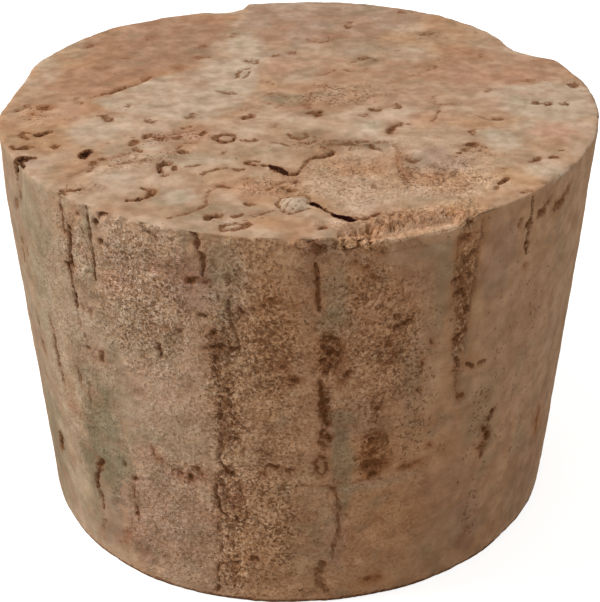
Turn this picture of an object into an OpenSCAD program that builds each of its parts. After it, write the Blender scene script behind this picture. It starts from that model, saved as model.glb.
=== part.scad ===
// Tapered natural-cork stopper, cut as one piece.
// Z is up, the origin is the centre of the narrow bottom face, and -Y is the front.
// A bearing is in degrees from the front, positive towards +X.

/* [Stopper] */
// Diameter across the wide top
top_d = 54; // [46:0.5:70]
// Diameter across the narrow bottom
bottom_d = 48; // [42:0.5:66]
// Height from bottom to top
height = 38; // [30:0.5:60]
// Bevel worn on the top and bottom edges
edge_wear = 0.4; // [0.2:0.1:1]

/* [Chipped rim] */
// How far the chips break into the rim
chip_depth = 2.7; // [1.5:0.1:4]
// How far down the wall the chips run
chip_drop = 10; // [5:0.5:16]
// Step down to the crumbled ledge at the front of the rim
ledge_drop = 0.7; // [0.4:0.1:1.5]
// Width of that ledge
ledge_w = 2.6; // [1.5:0.1:4]

/* [Pits and cracks] */
// Depth of the deepest pit in the top
pit_depth = 1.8; // [0.8:0.1:3]
// Depth of the cracks in the top
crack_depth = 1.6; // [0.8:0.1:3]
// Width of the widest crack in the top
crack_w = 1.0; // [0.6:0.1:1.5]
// Depth of the deepest groove down the wall
groove_depth = 1.2; // [0.6:0.1:2]
// Width of the widest groove down the wall
groove_w = 2.0; // [1:0.1:3]

/* [Hidden] */
$fn = 128;
cork = "#b8967c";

top_r = top_d / 2;
bottom_r = bottom_d / 2;
lean = atan((top_r - bottom_r) / height);
slant = height / cos(lean);
// A cutter runs this far past the face that it opens
past = 0.8;

// Places on the top are [x, y] in hundredths of the top radius. Places on the wall are
// [bearing, z], with z in hundredths of the height. Widths and depths below are shares of
// the widest crack or groove and of the deepest pit, crack or groove.

// Chips: bearing, radius of the hollow, share of the depth, share of the drop
chips = [
    [138, 60, 0.34, 1.3],
    [127, 26, 0.58, 1.0],
    [122, 10, 0.90, 0.8],
    [120, 4, 1.00, 0.5],
    [106, 70, 0.24, 1.6],
    [-148, 60, 0.26, 1.3],
    [-158, 14, 0.46, 0.8],
    [-163, 3, 0.72, 0.5],
    [-98, 120, 0.30, 2.0],
];

// Top pits: place, length in mm, share of its length that is its width, turn, share of the depth
top_pits = [
    [[-85, -4], 1.3, 0.9, 0, 0.5],
    [[-93, -6], 1.7, 0.4, 65, 0.4],
    [[-83, -24], 1.7, 0.4, 50, 0.5],
    [[-89, -35], 1.6, 0.4, 5, 0.5],
    [[-77, -35], 1.0, 0.8, 0, 0.4],
    [[-67, -41], 2.4, 0.5, 25, 1.0],
    [[-63, -13], 1.5, 0.4, -60, 0.3],
    [[-49, -16], 1.2, 0.6, 10, 0.4],
    [[-35, -10], 1.6, 0.5, 70, 0.3],
    [[-16, -12], 1.3, 0.5, -40, 0.4],
    [[-23, -29], 1.7, 0.8, 0, 0.3],
    [[-52, -35], 1.0, 0.6, 40, 0.3],
    [[-36, -40], 1.0, 0.8, 0, 0.5],
    [[-42, -49], 1.2, 0.8, 30, 0.8],
    [[-42, -55], 1.2, 0.5, 90, 0.6],
    [[-23, -64], 1.3, 0.6, 35, 0.6],
    [[-24, -87], 1.7, 0.4, 25, 0.6],
    [[-14, -48], 1.3, 0.9, 0, 0.6],
    [[-2, -78], 3.0, 0.6, 15, 0.3],
    [[6, -10], 1.5, 0.9, 0, 0.5],
    [[25, -6], 1.2, 0.9, 0, 0.4],
    [[33, -4], 1.4, 0.5, 90, 0.5],
    [[31, -23], 2.4, 0.4, 65, 0.5],
    [[65, -15], 1.1, 0.9, 0, 0.4],
    [[56, -26], 1.1, 0.5, 90, 0.4],
    [[54, -39], 1.6, 0.4, 60, 0.4],
    [[76, -46], 1.2, 0.7, 20, 0.4],
    [[61, -64], 1.6, 0.4, 55, 0.4],
    [[81, -2], 1.0, 0.6, 0, 0.3],
    [[89, -3], 1.0, 0.7, 0, 0.3],
    [[-19, 27], 2.5, 0.5, 80, 0.3],
    [[-16, 37], 1.5, 0.4, -20, 0.4],
    [[-24, 9], 2.1, 0.3, -33, 0.4],
    [[19, 73], 2.6, 0.3, 72, 0.4],
    [[47, 64], 1.5, 0.8, 0, 0.3],
    [[45, 4], 1.0, 0.7, 0, 0.3],
];

// Top cracks: share of the width, share of the depth, path
top_cracks = [
    [1.0, 1.0, [[2, -77], [6, -79], [10, -85], [15, -89], [20, -86], [25, -82]]],
    [0.9, 0.9, [[-13, -52], [-9, -51], [-6, -53], [-3, -57]]],
    [0.5, 0.6, [[0, -56], [2, -49], [5, -45], [10, -42], [12, -38]]],
    [0.9, 0.8, [[-47, -65], [-44, -69], [-46, -74], [-53, -76]]],
    [0.6, 0.6, [[-66, -67], [-71, -68], [-73, -75]]],
    [0.7, 0.7, [[-82, -42], [-86, -44], [-90, -48]]],
    [0.6, 0.4, [[47, -1], [46, -9], [43, -17]]],
    [0.8, 0.7, [[-70, 7], [-63, 12], [-57, 17], [-54, 20], [-51, 25]]],
];

// Wall grooves: share of the width, share of the depth, path
grooves = [
    [0.6, 0.9, [[-62.5, 102], [-63, 97], [-62.5, 91]]],
    [0.5, 0.6, [[-57, 61], [-56, 55], [-56, 50], [-55, 45]]],
    [0.5, 0.9, [[-46.5, 102], [-46, 96], [-44.5, 91], [-45.5, 87], [-46.5, 83], [-46, 79], [-45, 71]]],
    [0.3, 0.7, [[-39.5, 98], [-39, 90], [-39, 82]]],
    [0.5, 0.8, [[-44.5, 31], [-45.5, 27], [-47, 22], [-46.5, 17], [-45.5, 13], [-46.5, 7]]],
    [0.5, 0.7, [[-36, 30], [-35.5, 23], [-36, 15]]],
    [0.4, 0.7, [[-17.5, 102], [-16, 97], [-16.5, 93], [-16, 89]]],
    [1.0, 0.6, [[-14, 78], [-14, 66], [-14, 54], [-14.5, 44], [-15, 35], [-15.5, 22], [-16, 10], [-16.5, 1]]],
    [0.4, 0.6, [[-12, 90], [-12, 84], [-11.5, 75]]],
    [0.4, 0.8, [[3, 93], [3, 87], [3, 82]]],
    [1.0, 0.7, [[5, 78], [5, 72], [5, 65]]],
    [0.4, 0.7, [[3.5, 64], [4, 58], [4.5, 53]]],
    [0.5, 0.8, [[6.5, 37], [7, 31], [7, 22], [6, 16], [4.5, 11], [4.5, 3]]],
    [1.0, 0.8, [[30, 102], [30.5, 86], [29.5, 75], [30, 66], [30, 57]]],
    [0.4, 0.6, [[44.5, 98], [45, 91], [45.5, 85]]],
    [0.3, 0.5, [[32, 61], [34, 60.5], [36, 60]]],
    [0.5, 0.6, [[41, 44], [39, 40], [40, 37], [39, 32]]],
    [0.6, 0.7, [[82, 102], [83, 88], [82, 70], [83, 52]]],
    [0.4, 0.6, [[104, 60], [103, 44], [104, 26], [103, 12]]],
    [0.8, 0.6, [[150, 66], [151, 48], [150, 30], [151, 14]]],
    [0.5, 0.7, [[178, 102], [177, 90], [178, 76], [177, 64]]],
    [0.9, 0.6, [[-146, 58], [-145, 40], [-146, 22], [-147, 1]]],
    [0.4, 0.7, [[-118, 90], [-119, 78], [-118, 64]]],
    [0.6, 0.6, [[-92, 52], [-93, 36], [-92, 20]]],
];

// Wall pits: place, length in mm, share of its length that is its width, turn, share of the depth
wall_pits = [
    [[-63.5, 22], 2.5, 0.5, 90, 0.5],
    [[-12, 83], 2.0, 0.6, 90, 0.4],
    [[-9.5, 49], 1.3, 0.6, 40, 0.4],
    [[-4.5, 40], 2.2, 0.3, 0, 0.4],
    [[4, 48], 2.0, 0.8, 0, 0.7],
    [[4, 40], 1.5, 0.9, 0, 0.4],
    [[14, 38], 2.4, 0.7, 0, 0.5],
    [[25, 70], 1.4, 0.6, 90, 0.4],
    [[42, 94], 1.4, 0.6, 90, 0.5],
    [[94, 78], 2.0, 0.5, 90, 0.5],
    [[130, 34], 2.2, 0.6, 90, 0.5],
    [[163, 50], 1.6, 0.7, 90, 0.5],
    [[-166, 30], 2.4, 0.5, 90, 0.5],
    [[-132, 76], 1.8, 0.6, 90, 0.5],
    [[-107, 30], 2.0, 0.5, 90, 0.5],
];

// Bottom pits, as the top ones, with places in hundredths of the bottom radius
bottom_pits = [
    [[-70, -30], 1.6, 0.6, 30, 0.5],
    [[-52, -58], 2.0, 0.5, 50, 0.6],
    [[-44, 18], 1.4, 0.8, 0, 0.4],
    [[-24, -24], 1.8, 0.5, -30, 0.5],
    [[-12, 60], 1.6, 0.6, 70, 0.4],
    [[8, -66], 2.4, 0.5, 15, 0.6],
    [[14, 14], 1.2, 0.8, 0, 0.4],
    [[36, -30], 2.0, 0.4, 60, 0.5],
    [[44, 52], 1.6, 0.6, -20, 0.4],
    [[66, -8], 1.4, 0.7, 0, 0.5],
];

// Side of a path at its point i, as a unit step to the left
function left(path, i) = let (d = path[i + 1] - path[i - 1]) [-d[1], d[0]] / norm(d);

// Outline of a crack: along one side of its path and back along the other, with pointed ends
function ribbon(path, w) = let (last = len(path) - 1) concat(
    [path[0]],
    [for (i = [1:last - 1]) path[i] - left(path, i) * w / 2],
    [path[last]],
    [for (i = [last - 1:-1:1]) path[i] + left(path, i) * w / 2]
);

// Uneven oval of a pit's mouth
oval_sides = 10;
oval_wave = 0.12;
function oval(l, w, seed) = [
    for (i = [0:oval_sides - 1])
        let (a = 360 * i / oval_sides, k = 1 + oval_wave * sin(3 * a + 70 * seed))
        [l / 2 * k * cos(a), w / 2 * k * sin(a)]
];

// Point on the unrolled wall, measured along it from the bearing b0
function unrolled(p, b0) = let (z = p[1] / 100, r = bottom_r + (top_r - bottom_r) * z)
    [(p[0] - b0) * PI / 180 * r, z * slant];

module blank() {
    rotate_extrude()
        polygon([
            [0, 0],
            [bottom_r - edge_wear, 0],
            [bottom_r + edge_wear * tan(lean), edge_wear],
            [top_r, height - edge_wear],
            [top_r - edge_wear, height],
            [0, height],
        ]);
}

// Hollow with a leaning axis, which breaks out of the rim and dies out down the wall
module chip(bearing, hollow_r, deep, drop) {
    rotate([0, 0, bearing])
        translate([0, -(top_r - deep), height])
        rotate([lean - atan(deep / drop), 0, 0])
        translate([0, -hollow_r, -2 * drop])
        cylinder(r = hollow_r, h = 2 * drop + 2 * past);
}

// Crumbled strip along the front rim, from beside the widest crack to the right
module ledge() {
    translate([0, 0, height - ledge_drop])
        linear_extrude(ledge_drop + past)
        polygon([
            for (b = [5:4:33]) (top_r + past) * [sin(b), -cos(b)],
            for (b = [33:-4:5]) (top_r - ledge_w * (1 - 0.2 * cos(b * 40))) * [sin(b - 1), -cos(b - 1)],
        ]);
}

// Cuts its 2D children into the bottom or into the top
module in_bottom(deep) {
    translate([0, 0, -past]) linear_extrude(deep + past) children();
}

module in_top(deep) {
    translate([0, 0, height - deep]) linear_extrude(deep + past) children();
}

// Cuts its 2D children into the wall at a bearing, to a depth measured from the slanting wall
module in_wall(bearing, deep) {
    rotate([0, 0, bearing])
        translate([0, -bottom_r, 0])
        rotate([lean, 0, 0])
        translate([0, deep, 0])
        rotate([90, 0, 0])
        linear_extrude(deep + past)
        children();
}

module rim_damage() {
    for (c = chips) chip(c[0], c[1], c[2] * chip_depth, c[3] * chip_drop);
    ledge();
}

// Mouth of the pit p on a face of radius r
module mouth(p, r, seed) {
    translate(p[0] * r / 100) rotate(p[3]) polygon(oval(p[1], p[1] * p[2], seed));
}

module bottom_damage() {
    for (i = [0:len(bottom_pits) - 1])
        let (p = bottom_pits[i]) in_bottom(p[4] * pit_depth) mouth(p, bottom_r, i);
}

module top_damage() {
    for (i = [0:len(top_pits) - 1])
        let (p = top_pits[i]) in_top(p[4] * pit_depth) mouth(p, top_r, i);
    for (c = top_cracks)
        in_top(c[1] * crack_depth) polygon(ribbon(c[2] * top_r / 100, c[0] * crack_w));
}

module wall_damage() {
    for (g = grooves)
        let (b0 = g[2][1][0])
            in_wall(b0, g[1] * groove_depth)
            polygon(ribbon([for (p = g[2]) unrolled(p, b0)], g[0] * groove_w));
    for (i = [0:len(wall_pits) - 1])
        let (p = wall_pits[i])
            in_wall(p[0][0], p[4] * groove_depth)
            translate(unrolled(p[0], p[0][0]))
            rotate(p[3])
            polygon(oval(p[1], p[1] * p[2], i));
}

module stopper() {
    color(cork)
        difference() {
            blank();
            rim_damage();
            top_damage();
            wall_damage();
            bottom_damage();
        }
}

stopper();
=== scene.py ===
import math
import bmesh
import bpy
import numpy as np
from mathutils import Matrix, Vector, noise


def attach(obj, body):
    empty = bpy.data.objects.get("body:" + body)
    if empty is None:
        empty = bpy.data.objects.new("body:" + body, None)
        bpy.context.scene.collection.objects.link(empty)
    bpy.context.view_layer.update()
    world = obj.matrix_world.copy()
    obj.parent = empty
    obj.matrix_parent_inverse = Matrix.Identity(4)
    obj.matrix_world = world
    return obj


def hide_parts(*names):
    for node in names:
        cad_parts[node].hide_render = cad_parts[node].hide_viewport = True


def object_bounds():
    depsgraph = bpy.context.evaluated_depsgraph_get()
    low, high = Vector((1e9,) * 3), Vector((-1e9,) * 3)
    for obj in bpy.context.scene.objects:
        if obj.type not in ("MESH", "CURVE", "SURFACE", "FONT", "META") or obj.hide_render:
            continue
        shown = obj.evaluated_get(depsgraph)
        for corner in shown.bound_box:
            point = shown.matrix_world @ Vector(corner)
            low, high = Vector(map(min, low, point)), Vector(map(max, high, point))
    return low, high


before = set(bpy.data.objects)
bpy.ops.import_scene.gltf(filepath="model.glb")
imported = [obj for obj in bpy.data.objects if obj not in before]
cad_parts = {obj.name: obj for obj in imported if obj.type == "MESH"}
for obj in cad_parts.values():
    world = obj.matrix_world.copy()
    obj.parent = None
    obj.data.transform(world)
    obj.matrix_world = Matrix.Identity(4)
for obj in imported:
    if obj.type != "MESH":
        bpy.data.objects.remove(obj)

# Tapered natural-cork stopper. Metres, Z up, the origin at the centre of the narrow
# bottom face, the front towards -Y. Marks in the cork are given in millimetres: x and y
# on the top and bottom, a bearing in degrees from the front (positive towards +X) and a
# height on the wall.
mm = 0.001
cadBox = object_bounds()


def linear(hexColour):
    # sRGB hex to the linear colour that the shaders take
    parts = [int(hexColour[i:i + 2], 16) / 255 for i in (1, 3, 5)]
    return [c / 12.92 if c <= 0.04045 else ((c + 0.055) / 1.055) ** 2.4 for c in parts] + [1.0]


def smooth(low, high, value):
    # eases from 0 at low to 1 at high
    t = np.clip((value - low) / (high - low), 0, 1)
    return t * t * (3 - 2 * t)


def addNode(tree, kind, inputs=None, out=0, **settings):
    # adds one node, sets it up, links or fills its inputs, and gives back one output
    made = tree.nodes.new(kind)
    for name, value in settings.items():
        setattr(made, name, value)
    for name, value in (inputs or {}).items():
        if isinstance(value, bpy.types.NodeSocket):
            tree.links.new(value, made.inputs[name])
        else:
            made.inputs[name].default_value = value
    return made.outputs[out] if made.outputs else made


def emptyTree(owner):
    owner.use_nodes = True
    owner.node_tree.nodes.clear()
    return owner.node_tree


camera = dict(
    elevation=29.24,      # degrees above the horizon
    distance=168.3,       # mm from the middle of the stopper
    sideways=0.03,        # mm, the camera moved in its own plane
    upwards=-1.46,
    roll=0.36,            # degrees
    lens=104.8,           # mm on a 36 mm sensor
)


def makeCamera():
    data = bpy.data.cameras.new("camera")
    data.lens = camera["lens"]
    data.sensor_width = 36
    data.clip_start = 0.01
    data.clip_end = 20
    middle = Matrix.Translation((0, 0, cadBox[1].z / 2))
    lean = Matrix.Rotation(math.radians(90 - camera["elevation"]), 4, "X")
    away = Matrix.Translation(Vector((camera["sideways"], camera["upwards"], camera["distance"])) * mm)
    roll = Matrix.Rotation(-math.radians(camera["roll"]), 4, "Z")
    piece = bpy.data.objects.new("camera", data)
    piece.matrix_world = middle @ lean @ away @ roll
    bpy.context.scene.collection.objects.link(piece)
    bpy.context.scene.camera = piece


studio = dict(
    floorSize=4.0,        # metres
    floorColour="#c4c2be",
    floorGlow=0.80,       # what the camera sees on top of the lit floor
    skyLight=0.50,        # strength of the even light from all round
    lampWatts=4.4,
    lampSize=0.45,        # metres
    lampAway=0.80,        # metres
    lampBearing=-92,      # degrees from the front, so it stands at the left
    lampHeight=46,        # degrees above the horizon
)


def behindRays(tree):
    # 1 where a ray from the camera, a gloss or a clear surface looks past the object
    camRay = addNode(tree, "ShaderNodeLightPath", out="Is Camera Ray")
    glossRay = addNode(tree, "ShaderNodeLightPath", out="Is Glossy Ray")
    clearRay = addNode(tree, "ShaderNodeLightPath", out="Is Transmission Ray")
    either = addNode(tree, "ShaderNodeMath", {0: camRay, 1: glossRay}, operation="MAXIMUM")
    return addNode(tree, "ShaderNodeMath", {0: either, 1: clearRay}, operation="MAXIMUM")


def makeStudio():
    world = bpy.data.worlds.new("studio")
    bpy.context.scene.world = world
    tree = emptyTree(world)
    strength = addNode(tree, "ShaderNodeMapRange",
                       {"Value": behindRays(tree), "To Min": studio["skyLight"], "To Max": 1.0})
    sky = addNode(tree, "ShaderNodeBackground", {"Color": (1, 1, 1, 1), "Strength": strength})
    addNode(tree, "ShaderNodeOutputWorld", {"Surface": sky})

    # pale matt paper; the glow only lifts what the camera sees to white
    paper = bpy.data.materials.new("paleMattPaper")
    tree = emptyTree(paper)
    lit = addNode(tree, "ShaderNodeBsdfDiffuse", {"Color": linear(studio["floorColour"])})
    glow = addNode(tree, "ShaderNodeMath", {0: behindRays(tree), 1: studio["floorGlow"]},
                   operation="MULTIPLY")
    shine = addNode(tree, "ShaderNodeEmission", {"Color": (1, 1, 1, 1), "Strength": glow})
    both = addNode(tree, "ShaderNodeAddShader", {0: lit, 1: shine})
    addNode(tree, "ShaderNodeOutputMaterial", {"Surface": both})

    bm = bmesh.new()
    bmesh.ops.create_grid(bm, x_segments=1, y_segments=1, size=studio["floorSize"] / 2)
    mesh = bpy.data.meshes.new("floor")
    bm.to_mesh(mesh)
    bm.free()
    floor = bpy.data.objects.new("floor", mesh)
    mesh.materials.append(paper)
    bpy.context.scene.collection.objects.link(floor)

    lamp = bpy.data.lights.new("lamp", "AREA")
    lamp.shape = "DISK"
    lamp.size = studio["lampSize"]
    lamp.energy = studio["lampWatts"]
    bearing, rise = math.radians(studio["lampBearing"]), math.radians(studio["lampHeight"])
    way = Vector((math.sin(bearing) * math.cos(rise), -math.cos(bearing) * math.cos(rise), math.sin(rise)))
    holder = bpy.data.objects.new("lamp", lamp)
    holder.location = Vector((0, 0, cadBox[1].z / 2)) + way * studio["lampAway"]
    holder.rotation_euler = way.to_track_quat("Z", "Y").to_euler()
    bpy.context.scene.collection.objects.link(holder)


print("camera and studio")
makeCamera()
makeStudio()
bpy.context.scene.view_settings.view_transform = "Standard"


stopper = dict(
    across=70,            # squares along each quarter of the rim
    rows=64,              # squares from bottom to top
    rimRound=0.22,        # mm, edges worn round
    rimSteps=2,
    frontReach=74,        # degrees each side of the front that get finer squares
    markReach=80,         # degrees each side of the front where marks get the finest squares
    topReach=6,           # mm, finer squares on the top as far back as this
    rimBand=1.4,          # mm, width of the finer band along the rim
    nearMark=0.6,         # mm around a mark that get finer squares
    atMark=0.08,          # mm around a mark that get the finest squares
    atCore=(0.06, 0.0),   # mm, cut twice more at the black cracks
    deepest=0.65,         # most depth of a mark as a share of its width
    blackFrom=0.94,       # darkness from which a mark counts as a black crack, painted black as the shadow in its crevice
    tornDepth=0.15,       # mm, the torn layer below the cut top
    brokenDepth=0.55,     # mm, the crumbled step below the top
    ledgeDrop=0.62,       # mm, the plain pale ledge below the top
    lumps=0.07,           # mm, slow unevenness of all faces
    grain=0.024,          # mm, fine grain of the cut cork
    crumb=0.15,           # mm, crumbled grains
    crumbSize=0.62,       # mm, half of the distance between grains
    clodSize=0.62,        # mm, the same for the clods of the step
    rings=0.025,          # mm, growth rings that show round the wall
    rimNicks=0.30,        # mm, small nicks along both rims
    # a ridged pale lens of bark beside the deep crack, in mm, and its turn in degrees
    lens=dict(x=-0.4, y=-20.9, length=4.1, width=2.7, turn=66, rise=0.34, ridge=0.07, pitch=0.62),
    # the wall is not quite round: bearing, half width in degrees, swell in mm, fade heights
    swells=[(-85, 45, 0.38, 38, 30), (-32, 30, 0.70, 12, 0), (58, 25, -0.25, 10, 0)],
)

topZ = cadBox[1].z / mm
topRadius = max(abs(c) for corner in cadBox for c in corner[:2]) / mm


def bottomRadiusOfCad():
    # the wall's radius just above the worn bottom edge, carried down the taper
    places = np.array([v.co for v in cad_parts["stopper"].data.vertices]) / mm
    low = places[(places[:, 2] > 0.3) & (places[:, 2] < 0.6)]
    r = np.hypot(low[:, 0], low[:, 1]).max()
    z = low[np.hypot(low[:, 0], low[:, 1]).argmax(), 2]
    return (r - topRadius * z / topZ) / (1 - z / topZ)


bottomRadius = bottomRadiusOfCad()
print("radii in mm:", round(topRadius, 2), round(bottomRadius, 2), "height", round(topZ, 2))


def wallRadius(z):
    return bottomRadius + (topRadius - bottomRadius) * z / topZ


def squareToRound(u, v):
    # carries a square grid on to a disc, with equal steps round the rim
    if abs(u) < 1e-9 and abs(v) < 1e-9:
        return 0.0, 0.0
    if abs(u) >= abs(v):
        turn = math.pi / 4 * v / u
        return u * math.cos(turn), u * math.sin(turn)
    turn = math.pi / 4 * u / v
    return v * math.sin(turn), v * math.cos(turn)


def makeBlank():
    # a cube cut into squares and drawn out to the tapered cork, all in mm
    bm = bmesh.new()
    bmesh.ops.create_cube(bm, size=2)
    level = [e for e in bm.edges if abs(e.verts[0].co.z - e.verts[1].co.z) < 1]
    bmesh.ops.subdivide_edges(bm, edges=level, cuts=stopper["across"] - 1, use_grid_fill=True)
    upright = [e for e in bm.edges if abs(e.verts[0].co.z - e.verts[1].co.z) > 1]
    bmesh.ops.subdivide_edges(bm, edges=upright, cuts=stopper["rows"] - 1, use_grid_fill=True)
    rimEdges = []
    for e in bm.edges:
        a, b = e.verts
        atEnd = abs(a.co.z) > 0.999 and abs(a.co.z - b.co.z) < 1e-6
        if atEnd and all(max(abs(p.co.x), abs(p.co.y)) > 0.999 for p in (a, b)):
            rimEdges.append(e)
    for v in bm.verts:
        x, y = squareToRound(v.co.x, v.co.y)
        z = (v.co.z + 1) / 2 * topZ
        r = wallRadius(z)
        v.co = (x * r, y * r, z)
    bmesh.ops.bevel(bm, geom=rimEdges, offset=stopper["rimRound"], offset_type="OFFSET",
                    segments=stopper["rimSteps"], profile=0.5, affect="EDGES", material=-1)
    bmesh.ops.recalc_face_normals(bm, faces=bm.faces)
    return bm
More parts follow.
